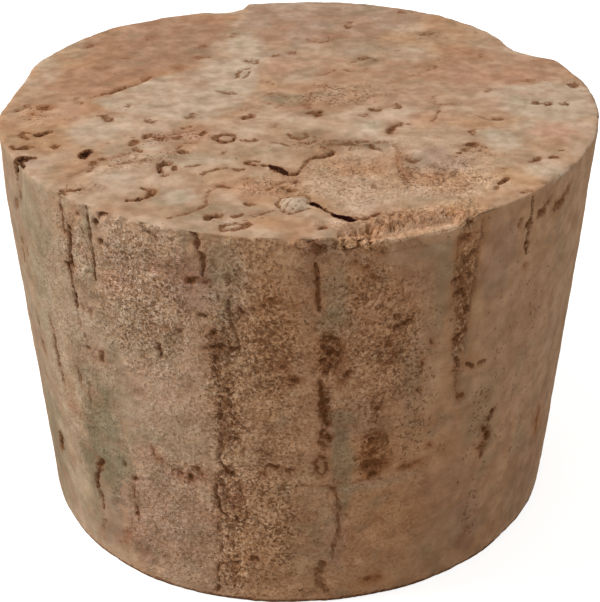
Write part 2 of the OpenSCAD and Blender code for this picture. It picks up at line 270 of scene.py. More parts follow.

# Marks in the cork, listed one by one. Pits are x, y, length, width, turn, depth, darkness and rust
# round the edge; on the wall x is a bearing and y a height.
topPits = [
    (-23, -0.8, 1.4, 1, 20, 0.2, 0.6, 1), (-22.3, -0.6, 0.7, 0.5, 0, 0.2, 0.45, 1),
    (-23.8, -2.4, 0.8, 0.5, 60, 0.1, 0.4, 1), (-25.2, -0.9, 2.2, 0.6, 60, 0.2, 0.45, 0.4),
    (-22.3, -6.7, 1.8, 0.8, 45, 0.35, 0.75, 0.3), (-23.9, -9.6, 1.8, 0.95, 4, 0.3, 0.78, 0.3),
    (-23.2, -12, 1.4, 1.1, 0, 0.3, 0.78, 0.2), (-20.9, -9.4, 0.9, 0.8, 20, 0.2, 0.56, 0.3),
    (-18.2, -11.1, 1.7, 0.62, 78, 0.5, 0.9, 0.5), (-17.1, -3.4, 1.8, 1, -60, 0.15, 0.58, 0.4),
    (-15.5, -0.5, 1.1, 0.6, 70, 0.1, 0.4, 0.1), (-20.3, 1.3, 0.6, 0.5, 0, 0.1, 0.4, 0.3),
    (-19.8, 0.4, 0.6, 0.5, 60, 0.1, 0.4, 0.3), (-13.1, -4.3, 1.1, 0.7, 0, 0.15, 0.54, 0.1),
    (-9.5, -2.9, 1.7, 1, 60, 0.1, 0.48, 0.1), (-4.4, -3.2, 1.5, 0.8, 30, 0.2, 0.62, 0.2),
    (-4.9, -1.4, 1.1, 0.7, 0, 0, 0.28, 0.2), (-2, -5.2, 1.3, 0.6, 70, 0.05, 0.35, 0.2),
    (-1.7, -0.6, 1.6, 0.5, 60, 0.05, 0.35, 0.1), (-12.9, -7.4, 1.5, 0.9, 0, 0.15, 0.62, 0.4),
    (-12, -8, 1, 0.9, 0, 0.15, 0.58, 0.4), (-9.9, -5.6, 1.2, 0.6, 20, 0.05, 0.45, 0.2),
    (-8.4, -6.9, 1.2, 0.7, 80, 0.1, 0.58, 0.3), (-10.5, -7.7, 1, 0.7, 20, 0.05, 0.48, 0.3),
    (-9.3, -8.8, 0.9, 0.6, 0, 0.05, 0.3, 0.4), (-14.2, -8.9, 1.2, 0.7, 70, 0.15, 0.62, 0.4),
    (-13.8, -10.2, 1.2, 0.6, -50, 0.15, 0.6, 0.4), (-16.6, -8.7, 0.7, 0.5, 0, 0.05, 0.32, 0.2),
    (-10.2, -9.8, 1.1, 0.5, 60, 0.1, 0.54, 0.2), (-9.9, -10.7, 1.1, 0.7, -10, 0.2, 0.66, 0.3),
    (-6.4, -11, 0.9, 0.5, 70, 0.05, 0.44, 0.2), (-11.3, -13.2, 1.2, 0.9, 20, 0.35, 0.78, 0.4),
    (-11.6, -14.3, 0.5, 1.4, 10, 0.3, 0.74, 0.4), (-11.1, -15.3, 0.9, 0.4, 20, 0.2, 0.6, 0.5),
    (-8.9, -13.5, 1.3, 0.5, 5, 0.1, 0.5, 0.1), (-10.4, -13.9, 0.4, 0.9, 0, 0.2, 0.6, 0.4),
    (-17.3, -12.9, 0.9, 0.6, 60, 0.1, 0.54, 0.5), (-16.6, -12.2, 0.8, 0.6, 40, 0.1, 0.54, 0.5),
    (-17.4, -14.3, 0.9, 0.6, 70, 0.1, 0.5, 0.5), (-13.4, -12.6, 1, 0.6, 40, 0.1, 0.52, 0.4),
    (-6.3, -17.3, 1.4, 0.8, -35, 0.3, 0.72, 0.6), (-6.7, -23.1, 1.8, 0.9, 22, 0.35, 0.72, 0.4),
    (-4.8, -23, 1, 0.5, 10, 0.15, 0.58, 0.1), (-4.2, -24.8, 1.4, 0.8, 60, 0.15, 0.62, 0.2),
    (-3.9, -21, 0.9, 0.6, -20, 0.2, 0.66, 0.2), (-4.4, -15.8, 0.5, 0.4, 0, 0.05, 0.35, 0.5),
    (-0.6, -18.1, 0.6, 0.5, 0, 0.2, 0.64, 0.5), (-0.3, -16.6, 0.9, 0.5, 70, 0.2, 0.64, 0.5),
    (-1.2, -17.7, 0.6, 0.4, 80, 0.15, 0.52, 0.6), (-2.4, -17.9, 0.8, 0.4, 60, 0.1, 0.44, 0.5),
    (6.2, -17.3, 0.8, 0.4, 80, 0.1, 0.44, 0.4), (1.8, -25.4, 0.8, 0.5, 60, 0.2, 0.62, 0.5),
    (1.4, -2.4, 1.7, 0.7, 5, 0.2, 0.68, 0.2), (1.9, -3, 1, 0.7, 40, 0.2, 0.6, 0.2),
    (6.8, -1.8, 1, 0.8, 0, 0.25, 0.65, 0.5), (9, -1, 0.6, 1.2, 0, 0.2, 0.6, 0.5),
    (7.9, -1.2, 1.4, 0.3, 12, 0.1, 0.35, 0.4), (5.8, -3.1, 1.2, 0.8, 0, 0.05, 0.38, 0.4),
    (17.6, -4, 1.2, 0.6, -5, 0.15, 0.6, 0.4), (15.2, -7, 0.7, 1.1, 0, 0.2, 0.55, 0.1),
    (14.8, -9.8, 1.2, 0.9, 40, 0.25, 0.7, 0.5), (14.2, -10.7, 0.8, 0.5, 60, 0.2, 0.55, 0.4),
    (13.8, -11.3, 0.7, 0.5, 0, 0.2, 0.55, 0.3), (15.9, -10.2, 0.6, 0.6, 0, 0.15, 0.55, 0.5),
    (20.2, -12.6, 1.4, 0.8, 45, 0.2, 0.6, 0.4), (19.6, -13.1, 0.7, 0.5, 0, 0.15, 0.5, 0.4),
    (21.7, -12.2, 0.9, 0.6, 0, 0.2, 0.6, 0.3), (22.4, -11, 0.7, 0.4, 20, 0.05, 0.38, 0.2),
    (21.6, -0.5, 0.9, 0.9, -30, 0.15, 0.72, 0), (22.5, -0.6, 0.8, 0.9, 0, 0.15, 0.72, 0),
    (24.1, -0.9, 0.8, 0.9, 0, 0.15, 0.66, 0), (17, -16.7, 1.2, 0.5, 60, 0.35, 0.8, 0.3),
    (16.2, -17.8, 0.8, 0.4, 40, 0.1, 0.5, 0.2), (17.2, -14.5, 0.7, 0.5, 0, 0.05, 0.35, 0.3),
    (18.6, -18.9, 1.1, 0.3, 20, 0.1, 0.4, 0.3), (-4.4, 10, 1.5, 0.9, -20, 0.15, 0.52, 0),
    (-6.7, 2.6, 2, 0.7, -32, 0.15, 0.55, 0), (-2.7, 4.8, 1.3, 0.8, -35, 0.05, 0.4, 0.3),
    (-2.1, 11.5, 1.3, 0.8, 0, 0.05, 0.45, 0.3), (-0.6, 12.2, 1, 0.9, 0, 0.05, 0.4, 0.3),
    (-9.3, 11.3, 1.7, 1, 10, 0, 0.38, 0.5), (-9.3, 14.3, 1, 1.2, 0, 0, 0.38, 0.5),
    (-16.6, 11.3, 1.6, 1, 10, 0, 0.3, 0.3), (-14.6, 16, 2, 1.6, 70, 0, 0.24, 0.4),
    (-18.6, 8.6, 1.5, 0.8, 50, 0, 0.25, 0.4), (-11.4, 8.6, 1.1, 0.8, 60, 0, 0.34, 0.5),
    (-20.5, 14.6, 1.1, 1.2, 10, 0.05, 0.42, 0.2), (-6.4, 17.2, 1.6, 1.4, 60, 0, 0.28, 0),
    (5.1, 19.8, 0.8, 2.2, -10, 0.1, 0.48, 0.1), (12.9, 17.2, 1.6, 1.7, 0, 0.05, 0.44, 0.1),
    (10.7, 23.6, 1.4, 1.4, 0, 0.1, 0.38, 0), (25.5, 3.7, 0.9, 1.3, 0, 0.2, 0.62, 0),
    (6.3, 10.7, 1.6, 0.9, 20, 0.1, 0.5, 0), (7.6, 10.2, 0.9, 0.9, 0, 0.1, 0.4, 0),
    (5.2, 9.6, 1.3, 0.6, 50, 0, 0.32, 0), (4.8, 7.6, 1.3, 0.6, -25, 0.05, 0.38, 0.1),
    (6.4, 7.9, 1.2, 0.6, 50, 0.05, 0.36, 0.1), (9.4, 12.8, 1.1, 0.7, 0, 0, 0.25, 0.2),
    (8.2, 13.6, 0.8, 0.9, 0, 0, 0.26, 0), (12.8, 8.1, 1.8, 0.8, 60, 0, 0.28, 0.2),
    (10.8, 6, 1.6, 0.9, 30, 0, 0.26, 0.3), (17.6, 2.6, 0.8, 1.4, -30, 0.05, 0.35, 0.3),
    (21.4, 4.8, 1.6, 0.8, 10, 0, 0.34, 0.2), (17.6, 11.2, 0.6, 1.2, 0, 0, 0.3, 0.3),
    (5.2, 2.6, 1.3, 0.6, 0, 0, 0.34, 0.2), (7.2, 1.3, 1.2, 0.6, 30, 0, 0.28, 0.3),
    (3.4, 0.5, 1, 0.6, 60, 0, 0.3, 0.3), (2.2, 3.6, 1, 0.7, 40, 0, 0.28, 0.4),
    (12.3, 0.9, 1, 0.5, 70, 0.05, 0.42, 0.3), (8.6, 4.6, 1.1, 0.6, 40, 0, 0.26, 0.3),
]

# Cracks are width, depth, darkness, rust, then the points that they run through.
topCracks = [
    (0.55, 0.12, 0.66, 0.4, [(-5.6, -7.5), (-6.2, -7.1), (-6.9, -7.3), (-7.2, -7.9), (-6.9, -8.6),
        (-6.3, -8.8), (-5.7, -8.5), (-5.5, -7.9)]),
    (0.5, 0.1, 0.56, 0.2, [(-4.9, -8.4), (-4.3, -8.7), (-3.8, -8.5), (-3.7, -8.1)]),
    (0.55, 0.12, 0.56, 0.5, [(-23.5, -6.5), (-24, -6.3), (-24.3, -6.9), (-23.9, -7.6), (-23.6, -7.9)]),
    (0.5, 0.1, 0.52, 0, [(-4.7, 8.4), (-5.4, 8.2), (-5.8, 7.2), (-5.6, 6.3), (-4.9, 6.4), (-4.6, 7.4)]),
    (0.44, 0.2, 0.7, 0.4, [(-3.4, -12.8), (-3.8, -12.6), (-4.3, -12.9), (-4.1, -13.4), (-3.5, -13.5)]),
    (0.48, 0.1, 0.56, 0.2, [(-4.3, -24.5), (-5.2, -24.3), (-6.1, -24.7), (-6, -25.3), (-5, -25.5),
        (-4.3, -25.1)]),
    (0.3, 0.12, 0.58, 0.2, [(-1.6, -19.9), (-1.8, -21), (-1.4, -22.1), (-0.8, -22.8), (0, -22.3),
        (0.8, -21.7)]),
    (0.26, 0.08, 0.4, 0.2, [(1, -20.2), (0.8, -19.3), (0.2, -18.9), (-0.7, -19.2), (-1.4, -19.8)]),
    (0.3, 0.1, 0.46, 0.3, [(-1.9, -22.1), (-2.6, -22.4), (-3.3, -22.9)]),
    (0.56, 0.5, 0.98, 0.3, [(1.1, -20.6), (1.3, -21), (1.5, -21.4)]),
    (0.36, 0.45, 0.9, 0.4, [(1.6, -21.4), (2.1, -21.9), (2.7, -22.7)]),
    (0.62, 1, 1, 0.4, [(2.8, -22.8), (3.3, -23.2), (3.8, -23.6), (4.2, -24)]),
    (0.6, 0.4, 0.8, 0.7, [(4.3, -23.5), (4.9, -23.4), (5.4, -23.2)]),
    (0.34, 0.2, 0.66, 0.7, [(5.3, -23.2), (5.9, -22.8), (6.4, -22.3)]),
    (0.34, 0.25, 0.75, 0.4, [(-3.3, -13.4), (-2.9, -13.6), (-2.5, -13.8)]),
    (0.5, 0.6, 0.95, 0.5, [(-2.5, -13.8), (-1.9, -14.2), (-1.4, -14.6), (-1.1, -15)]),
    (0.3, 0.25, 0.8, 0.4, [(-1.2, -14.9), (-0.8, -15.2), (-0.3, -15.1), (0, -14.7)]),
    (0.2, 0.15, 0.5, 0.5, [(0, -14.7), (0.4, -13.6), (0.8, -12.4)]),
    (0.34, 0.2, 0.7, 0.3, [(1, -12.1), (1.6, -11.8), (2.3, -11.5), (2.9, -11.1), (3.1, -10.5)]),
    (0.2, 0.1, 0.45, 0.3, [(2, -10), (2.6, -10.4), (3.1, -10.5)]),
    (0.5, 0.4, 0.8, 0.5, [(-13.7, -20.1), (-13, -20), (-12.4, -19.6)]),
    (0.62, 0.25, 0.66, 0.6, [(-12.4, -19.6), (-12, -19), (-12, -18.4), (-12.4, -17.9), (-12.9, -17.7)]),
    (0.4, 0.2, 0.52, 0.6, [(-17.4, -17.9), (-18.3, -18), (-19.4, -18.1), (-19.4, -20)]),
    (0.7, 0.3, 0.86, 0.1, [(-22.4, -11.7), (-23.4, -11.7), (-24, -12.3)]),
    (0.8, 0.45, 0.93, 0.1, [(-23.7, -12.2), (-23.7, -13.4), (-23.3, -14.8)]),
    (0.36, 0.15, 0.5, 0.4, [(-18.9, 1.6), (-18.3, 1.8), (-17.8, 2.2)]),
    (0.58, 0.35, 0.72, 0.5, [(-17.9, 2.2), (-17, 2.8), (-16.2, 3.6), (-15.4, 4.3)]),
    (0.46, 0.2, 0.58, 0.5, [(-15.4, 4.3), (-14.8, 4.9), (-14.3, 5.8), (-13.9, 6.5)]),
    (0.26, 0.1, 0.35, 0.3, [(12.8, -0.5), (12.6, -2.2), (11.9, -4.5)]),
    (0.24, 0.1, 0.35, 0.4, [(15.4, -2.6), (16.2, -3.4), (17, -4.2)]),
    (0.75, 0.3, 0.65, 0.5, [(7.9, -7), (8.1, -6.2), (8.5, -5.6)]),
    (0.5, 0.2, 0.5, 0.4, [(8.6, -5.6), (9.1, -5.1), (9.9, -5.1)]),
    (0.5, 0.05, 0.36, 0.1, [(1, 16.6), (1.2, 15.4), (2.2, 15), (3, 15.4), (3.1, 16.8)]),
    (0.38, 0.1, 0.42, 0.4, [(-10.4, -23.4), (-9.4, -22.8), (-8.2, -22), (-7.5, -21.1)]),
    (0.34, 0.06, 0.32, 0.4, [(-7.5, -21), (-7.4, -19.6), (-7.2, -18.4), (-6.8, -17.9)]),
    (0.38, 0.1, 0.52, 0.4, [(-8.2, -15.2), (-7.4, -14.6), (-6.6, -14.1), (-5.8, -14), (-5.2, -14.4),
        (-4.6, -14.2)]),
    (0.6, 0.1, 0.42, 0.1, [(2.6, -9.3), (4.2, -9.2), (5.8, -8.8), (7, -8.9), (8.2, -8.7)]),
    (0.55, 0.15, 0.5, 0.1, [(6.2, -9.6), (6.8, -10), (7.2, -10.4)]),
    (0.5, 0.05, 0.3, 0.3, [(8.2, -9.6), (8.5, -11.2), (8.3, -13)]),
    (0.6, 0.05, 0.32, 0.2, [(8.4, -13.2), (8.6, -15), (9, -17)]),
    (0.5, 0.15, 0.45, 0, [(-1, -7), (-0.6, -7.8), (0.2, -8.1), (0.9, -7.6), (0.6, -6.8)]),
    (0.45, 0.1, 0.42, 0, [(-2.4, -9.2), (-1.6, -9), (-0.8, -9.5)]),
    (0.4, 0.1, 0.36, 0, [(0.2, -8.9), (0.9, -9.3), (1.6, -8.6), (1.4, -7.6)]),
    (0.5, 0.15, 0.5, 0.1, [(9.3, -12.3), (9.7, -13), (10.2, -12.6)]),
    (0.5, 0.05, 0.36, 0.1, [(-2.9, 1.8), (-2.4, 2.2), (-1.6, 1.9), (-1, 1.2), (-0.6, 0.2)]),
    (0.5, 0.05, 0.34, 0.1, [(-3, 1.4), (-3.1, 0.4), (-2.4, -0.3)]),
    (0.6, 0.05, 0.34, 0.1, [(0.2, -0.2), (0.8, -1.2), (1.2, -2)]),
    (0.36, 0.05, 0.3, 0.3, [(12.2, 0.4), (12.4, -0.4), (13.2, -0.6), (14.4, -0.5)]),
    (0.45, 0.05, 0.28, 0.2, [(1.6, 6.4), (2.6, 7), (3.6, 8)]),
    (0.45, 0.05, 0.26, 0.2, [(9.4, 5.4), (10.6, 6.4), (12, 7.4), (13.6, 8.6)]),
    (0.5, 0.05, 0.3, 0.5, [(-19, -15.6), (-17.6, -14), (-16.9, -12.6), (-15.2, -11.4), (-14.2, -10.9)]),
    (0.5, 0.05, 0.26, 0.3, [(-13.8, -8.6), (-12.6, -7.2), (-10.8, -7), (-9.6, -6), (-8.2, -5.2)]),
    (0.5, 0.05, 0.22, 0.4, [(-15.8, -13.4), (-14.4, -12.8), (-12.6, -12.4), (-11.6, -12.2)]),
    (0.3, 0.15, 0.4, 0.5, [(-2.6, -16.6), (-2, -17), (-1.4, -16.6), (-0.6, -16.4)]),
]

wallPits = [
    (-62.3, 34.8, 1.6, 0.8, 60, 0.21, 0.36, 0.2), (-66, 33, 1.8, 0.9, 60, 0.21, 0.36, 0.2),
    (-65.3, 29.7, 1.4, 0.8, 90, 0.21, 0.4, 0.3), (-63, 29.2, 0.8, 0.5, 90, 0.14, 0.28, 0.2),
    (-66, 28, 1.3, 0.7, 80, 0.21, 0.4, 0.3), (-66.2, 26, 1.5, 0.6, 90, 0.14, 0.24, 0.2),
    (-64, 21.8, 1.5, 0.8, 90, 0.21, 0.36, 0.2), (-63.8, 19.4, 1.4, 0.8, 90, 0.14, 0.24, 0.6),
    (-63.4, 8.6, 2.3, 1.2, 80, 0.63, 0.76, 0.4), (-44.6, 34.6, 1, 0.8, 70, 0.35, 0.68, 0.3),
    (-46.3, 31.3, 1.4, 0.5, 5, 0.35, 0.64, 0.6), (-45.8, 27.3, 1, 0.5, 90, 0.35, 0.64, 0.4),
    (-43.7, 27.4, 0.5, 0.4, 0, 0.14, 0.32, 0.5), (-42, 27.3, 0.6, 0.4, 90, 0.14, 0.32, 0.5),
    (-44.5, 24.4, 0.8, 0.5, 80, 0.21, 0.4, 0.2), (-44.4, 23.3, 0.7, 0.5, 0, 0.21, 0.4, 0.2),
    (-40.3, 23.1, 1.3, 0.6, 80, 0.21, 0.44, 0.6), (-41.8, 36.8, 0.5, 0.4, 0, 0.14, 0.4, 0.3),
    (-41.2, 35.2, 0.6, 0.4, 90, 0.14, 0.4, 0.3), (-42.6, 33.6, 0.5, 0.4, 0, 0.14, 0.32, 0.3),
    (-37.6, 36.6, 0.7, 0.6, 0, 0.35, 0.6, 0.3), (-36.9, 35, 0.6, 0.5, 0, 0.28, 0.48, 0.3),
    (-35.6, 37.6, 1.3, 0.7, 20, 0.28, 0.48, 0.4), (-45.6, 10.5, 1.3, 0.9, 70, 0.35, 0.72, 0.7),
    (-38.3, 11.9, 0.7, 0.5, 70, 0.21, 0.4, 0), (-39.4, 3.8, 1.6, 0.7, 80, 0.07, 0.16, 0.8),
    (-35.8, 10.6, 0.8, 0.6, 80, 0.28, 0.52, 0.4), (-35.8, 7.2, 1.2, 0.5, 100, 0.21, 0.48, 0.3),
    (-34.6, 3, 1.7, 1.4, 0, 0.07, 0.22, 0.1), (-18.9, 33.3, 1, 0.48, 20, 0.35, 0.54, 1),
    (-17.8, 33.8, 0.7, 0.32, 10, 0.28, 0.48, 1), (-16.2, 33.4, 0.9, 0.4, 30, 0.21, 0.41, 0.5),
    (-12.1, 33.8, 1.1, 0.32, 90, 0.21, 0.37, 0), (-12.4, 31.3, 1.5, 0.64, 90, 0.28, 0.37, 0),
    (-10.1, 31, 0.9, 0.48, -40, 0.28, 0.51, 0.8), (-8, 31.2, 0.5, 0.4, 0, 0.21, 0.4, 0.6),
    (-5, 32.3, 0.7, 0.5, 30, 0.21, 0.48, 0.8), (-6.2, 31.6, 0.5, 0.4, 0, 0.21, 0.4, 0.6),
    (-17.3, 30.1, 0.7, 0.4, 0, 0.21, 0.41, 0.3), (-15.4, 28.7, 1.1, 0.48, 60, 0.28, 0.44, 0.5),
    (-15.2, 27.2, 1.1, 0.48, 20, 0.35, 0.48, 0.6), (-13.8, 27.4, 0.6, 0.4, 0, 0.28, 0.41, 0.5),
    (-11.8, 27.2, 0.9, 0.4, 5, 0.28, 0.51, 0.6), (-17.2, 26.9, 0.6, 0.32, 0, 0.21, 0.34, 0.5),
    (-15.4, 26, 0.8, 0.4, 80, 0.28, 0.44, 0.5), (-15.5, 24.6, 1.1, 0.4, 95, 0.28, 0.48, 0.5),
    (-15.1, 23.2, 0.6, 0.32, 0, 0.21, 0.41, 0.5), (-13.6, 23, 0.6, 0.4, 0, 0.21, 0.37, 0.5),
    (-14.8, 22.2, 0.5, 0.32, 0, 0.21, 0.41, 0.5), (-15.2, 21.4, 0.6, 0.32, 90, 0.21, 0.41, 0.5),
    (-13, 21.6, 0.8, 0.32, 90, 0.21, 0.34, 0.5), (-14.9, 20.2, 0.9, 0.32, 90, 0.21, 0.41, 0.5),
    (-12.2, 18, 0.8, 0.48, 0, 0.28, 0.41, 0.6), (-14.1, 14.2, 0.7, 0.4, 10, 0.35, 0.65, 0.3),
    (-11.2, 16.9, 0.6, 0.32, 60, 0.21, 0.34, 0.6), (-14.3, 11.5, 0.7, 0.4, 0, 0.28, 0.37, 0.5),
    (-13.3, 10.6, 0.6, 0.32, 90, 0.21, 0.34, 0.5), (-13.2, 9.3, 0.9, 0.32, 90, 0.21, 0.41, 0.5),
    (-14, 6.5, 0.6, 0.32, 90, 0.21, 0.34, 0.5), (-14, 4.3, 0.9, 0.4, 20, 0.21, 0.41, 0.5),
    (-17.7, 1, 0.8, 0.48, 90, 0.35, 0.54, 0.4), (-9.5, 5.1, 1, 0.48, 15, 0.28, 0.48, 0.7),
    (-11, 2.2, 0.6, 0.32, 0, 0.14, 0.27, 0.6), (-22.5, 13, 0.8, 0.6, 40, 0.21, 0.52, 1),
    (-24.6, 13.1, 0.6, 0.4, 0, 0.14, 0.32, 1), (-20.8, 14.1, 0.8, 0.5, -30, 0.21, 0.48, 1),
    (-19.8, 13.4, 0.6, 0.4, 90, 0.14, 0.36, 0.9), (-26.3, 25.8, 1.5, 0.5, 95, 0.21, 0.4, 0.5),
    (-27.2, 28.4, 0.6, 0.4, 0, 0.14, 0.4, 0.5), (-24, 28.3, 0.6, 0.4, 0, 0.14, 0.4, 0.6),
    (-22, 28.4, 0.6, 0.4, 0, 0.14, 0.44, 0.6), (-29.5, 24.6, 0.6, 0.4, 0, 0.14, 0.36, 0.5),
    (-5.2, 15.4, 1.3, 0.5, -20, 0.28, 0.64, 0.9), (-7.4, 14.5, 0.5, 0.4, 0, 0.14, 0.36, 0.8),
    (-2.4, 15, 1, 0.4, -10, 0.21, 0.44, 0.9), (-1, 24.4, 1.2, 0.5, 0, 0.21, 0.48, 0.9),
    (-2.6, 25.6, 0.9, 0.5, 30, 0.14, 0.4, 0.9), (-1.8, 23.8, 0.6, 0.4, 0, 0.14, 0.4, 0.8),
    (3, 37, 1.8, 1.1, 90, 0.28, 0.44, 0.5), (4.2, 27.6, 0.7, 0.5, 80, 0.28, 0.43, 0.8),
    (5.3, 27, 0.8, 0.5, 30, 0.28, 0.46, 0.8), (4.1, 26.4, 0.8, 0.5, 0, 0.28, 0.46, 0.8),
    (5.4, 25.7, 0.7, 0.5, 70, 0.28, 0.4, 0.8), (4.5, 25, 0.8, 0.5, 0, 0.28, 0.4, 0.8),
    (8.6, 24.8, 0.8, 0.5, 60, 0.21, 0.48, 0.9), (7.4, 24.2, 0.6, 0.4, 0, 0.21, 0.32, 0.8),
    (4.9, 22.3, 0.7, 0.5, 90, 0.28, 0.6, 0.6), (4.6, 21.2, 0.6, 0.5, 0, 0.21, 0.48, 0.6),
    (4.1, 19, 0.9, 0.7, 40, 0.21, 0.62, 0.8), (4.8, 18.4, 0.9, 0.8, 0, 0.21, 0.62, 0.8),
    (4, 17.9, 0.8, 0.6, 60, 0.21, 0.56, 0.8), (4.4, 17.4, 0.8, 0.5, 60, 0.21, 0.4, 0.8),
    (6.4, 12.9, 0.9, 0.6, 0, 0.21, 0.48, 0.4), (13, 15, 1.4, 0.6, 10, 0.21, 0.39, 1),
    (15, 15.1, 1.3, 0.6, -10, 0.21, 0.36, 1), (16.4, 14.7, 0.8, 0.5, 0, 0.21, 0.33, 1),
    (14, 14, 0.9, 0.5, 20, 0.21, 0.45, 1), (13.6, 17.5, 0.8, 0.5, 90, 0.21, 0.36, 1),
    (14.3, 16.4, 1, 0.5, 30, 0.21, 0.36, 1), (12.6, 16.2, 0.6, 0.5, 0, 0.14, 0.3, 1),
    (15, 18.4, 0.8, 0.4, 20, 0.14, 0.3, 1), (12.4, 18.2, 0.6, 0.4, 60, 0.14, 0.27, 1),
    (13.4, 21.4, 0.7, 0.4, 90, 0.14, 0.4, 0.6), (14.6, 20.9, 0.7, 0.4, 0, 0.14, 0.44, 0.6),
    (13.6, 20, 0.6, 0.4, 0, 0.14, 0.4, 0.6), (14.6, 19.6, 0.6, 0.4, 90, 0.14, 0.36, 0.6),
    (16, 27.4, 0.6, 0.4, 60, 0.14, 0.36, 0.8), (17, 26.4, 0.6, 0.4, 90, 0.14, 0.36, 0.8),
    (16.2, 25.4, 0.6, 0.4, 0, 0.14, 0.32, 0.8), (19.4, 29.2, 1, 0.4, 15, 0.21, 0.52, 0.6),
    (17.4, 30, 0.6, 0.4, 0, 0.21, 0.44, 0.7), (17.2, 28.9, 0.7, 0.4, 20, 0.21, 0.44, 0.7),
    (24.7, 26.7, 0.8, 0.5, 100, 0.21, 0.52, 0.8), (23, 24.8, 0.7, 0.4, 80, 0.21, 0.4, 0.8),
    (22.4, 22, 0.6, 0.4, 0, 0.14, 0.32, 0.9), (14, 36.4, 0.5, 0.4, 0, 0.14, 0.44, 0.8),
    (11.4, 35, 0.6, 0.4, 60, 0.14, 0.4, 0.9), (12.8, 34, 0.5, 0.4, 0, 0.14, 0.4, 0.9),
    (9.6, 35.6, 0.5, 0.4, 0, 0.14, 0.36, 0.9), (29.6, 36, 1.5, 0.9, 10, 0.28, 0.27, 1),
    (32, 34.4, 1, 0.8, 0, 0.35, 0.39, 0.4), (30.2, 34, 0.9, 0.6, 60, 0.28, 0.33, 0.6),
    (28.6, 32.2, 0.9, 0.5, 0, 0.28, 0.36, 0.6), (31.2, 32.4, 0.8, 0.6, 90, 0.28, 0.36, 0.5),
    (29.2, 31, 0.8, 0.5, 0, 0.28, 0.39, 0.6), (30.6, 30.4, 0.7, 0.5, 0, 0.28, 0.33, 0.6),
    (31.4, 29, 1.1, 0.6, 80, 0.35, 0.42, 0.7), (30.2, 28.5, 0.6, 0.5, 0, 0.21, 0.36, 0.7),
    (30, 26.5, 1.1, 0.7, 50, 0.28, 0.42, 0.8), (31.7, 27, 0.8, 0.5, 90, 0.21, 0.33, 0.7),
    (30.4, 24, 1.5, 0.5, 95, 0.28, 0.36, 0.5), (33.7, 23.1, 1.3, 0.5, -25, 0.28, 0.68, 0.5),
    (36.6, 22.9, 1.1, 0.5, 0, 0.21, 0.44, 0.5), (32.3, 20, 0.8, 0.6, 20, 0.21, 0.44, 0.9),
    (25.8, 15.8, 0.6, 0.4, 0, 0.14, 0.32, 0.8), (21.2, 14.1, 1.2, 0.5, 0, 0.14, 0.4, 1),
    (23.4, 14.4, 0.6, 0.4, 0, 0.14, 0.32, 1), (4.8, 4.2, 1, 0.6, 90, 0.21, 0.4, 0.4),
    (14.2, 1.9, 0.9, 0.5, 20, 0.14, 0.4, 1), (16.4, 2, 0.7, 0.5, 0, 0.14, 0.36, 1),
    (41, 16.6, 1.1, 0.4, 55, 0.28, 0.56, 0.5), (39.6, 15.4, 0.8, 0.5, 0, 0.28, 0.56, 0.8),
    (40.9, 14.4, 0.8, 0.5, 70, 0.28, 0.52, 0.9), (38.7, 13.6, 0.8, 0.6, 0, 0.28, 0.52, 0.9),
    (39.5, 12.6, 0.9, 0.4, 80, 0.21, 0.48, 0.8), (36.5, 8, 1.6, 1.2, 80, 0.07, 0.22, 0.3),
    (39.4, 6, 1.2, 1, 0, 0.07, 0.22, 0.3), (38.4, 4, 1.6, 1.2, 80, 0.07, 0.26, 0.4),
    (36.3, 3, 0.9, 0.7, 0, 0.07, 0.22, 0.3), (48.5, 35.6, 1.5, 1.1, 20, 0.21, 0.54, 0.6),
    (45, 33, 1, 0.8, 60, 0.28, 0.56, 0.5), (44.6, 35, 0.9, 0.7, 0, 0.28, 0.54, 0.5),
    (42.4, 35.6, 0.9, 0.4, 90, 0.21, 0.36, 0.3), (54.4, 35.2, 2, 1.1, 10, 0.21, 0.5, 0.8),
    (56.6, 35.8, 1.6, 0.8, 20, 0.14, 0.42, 0.6), (50.4, 36.2, 0.8, 0.6, 60, 0.14, 0.36, 0.6),
    (45.4, 31, 0.6, 0.4, 90, 0.14, 0.28, 0.7),
]

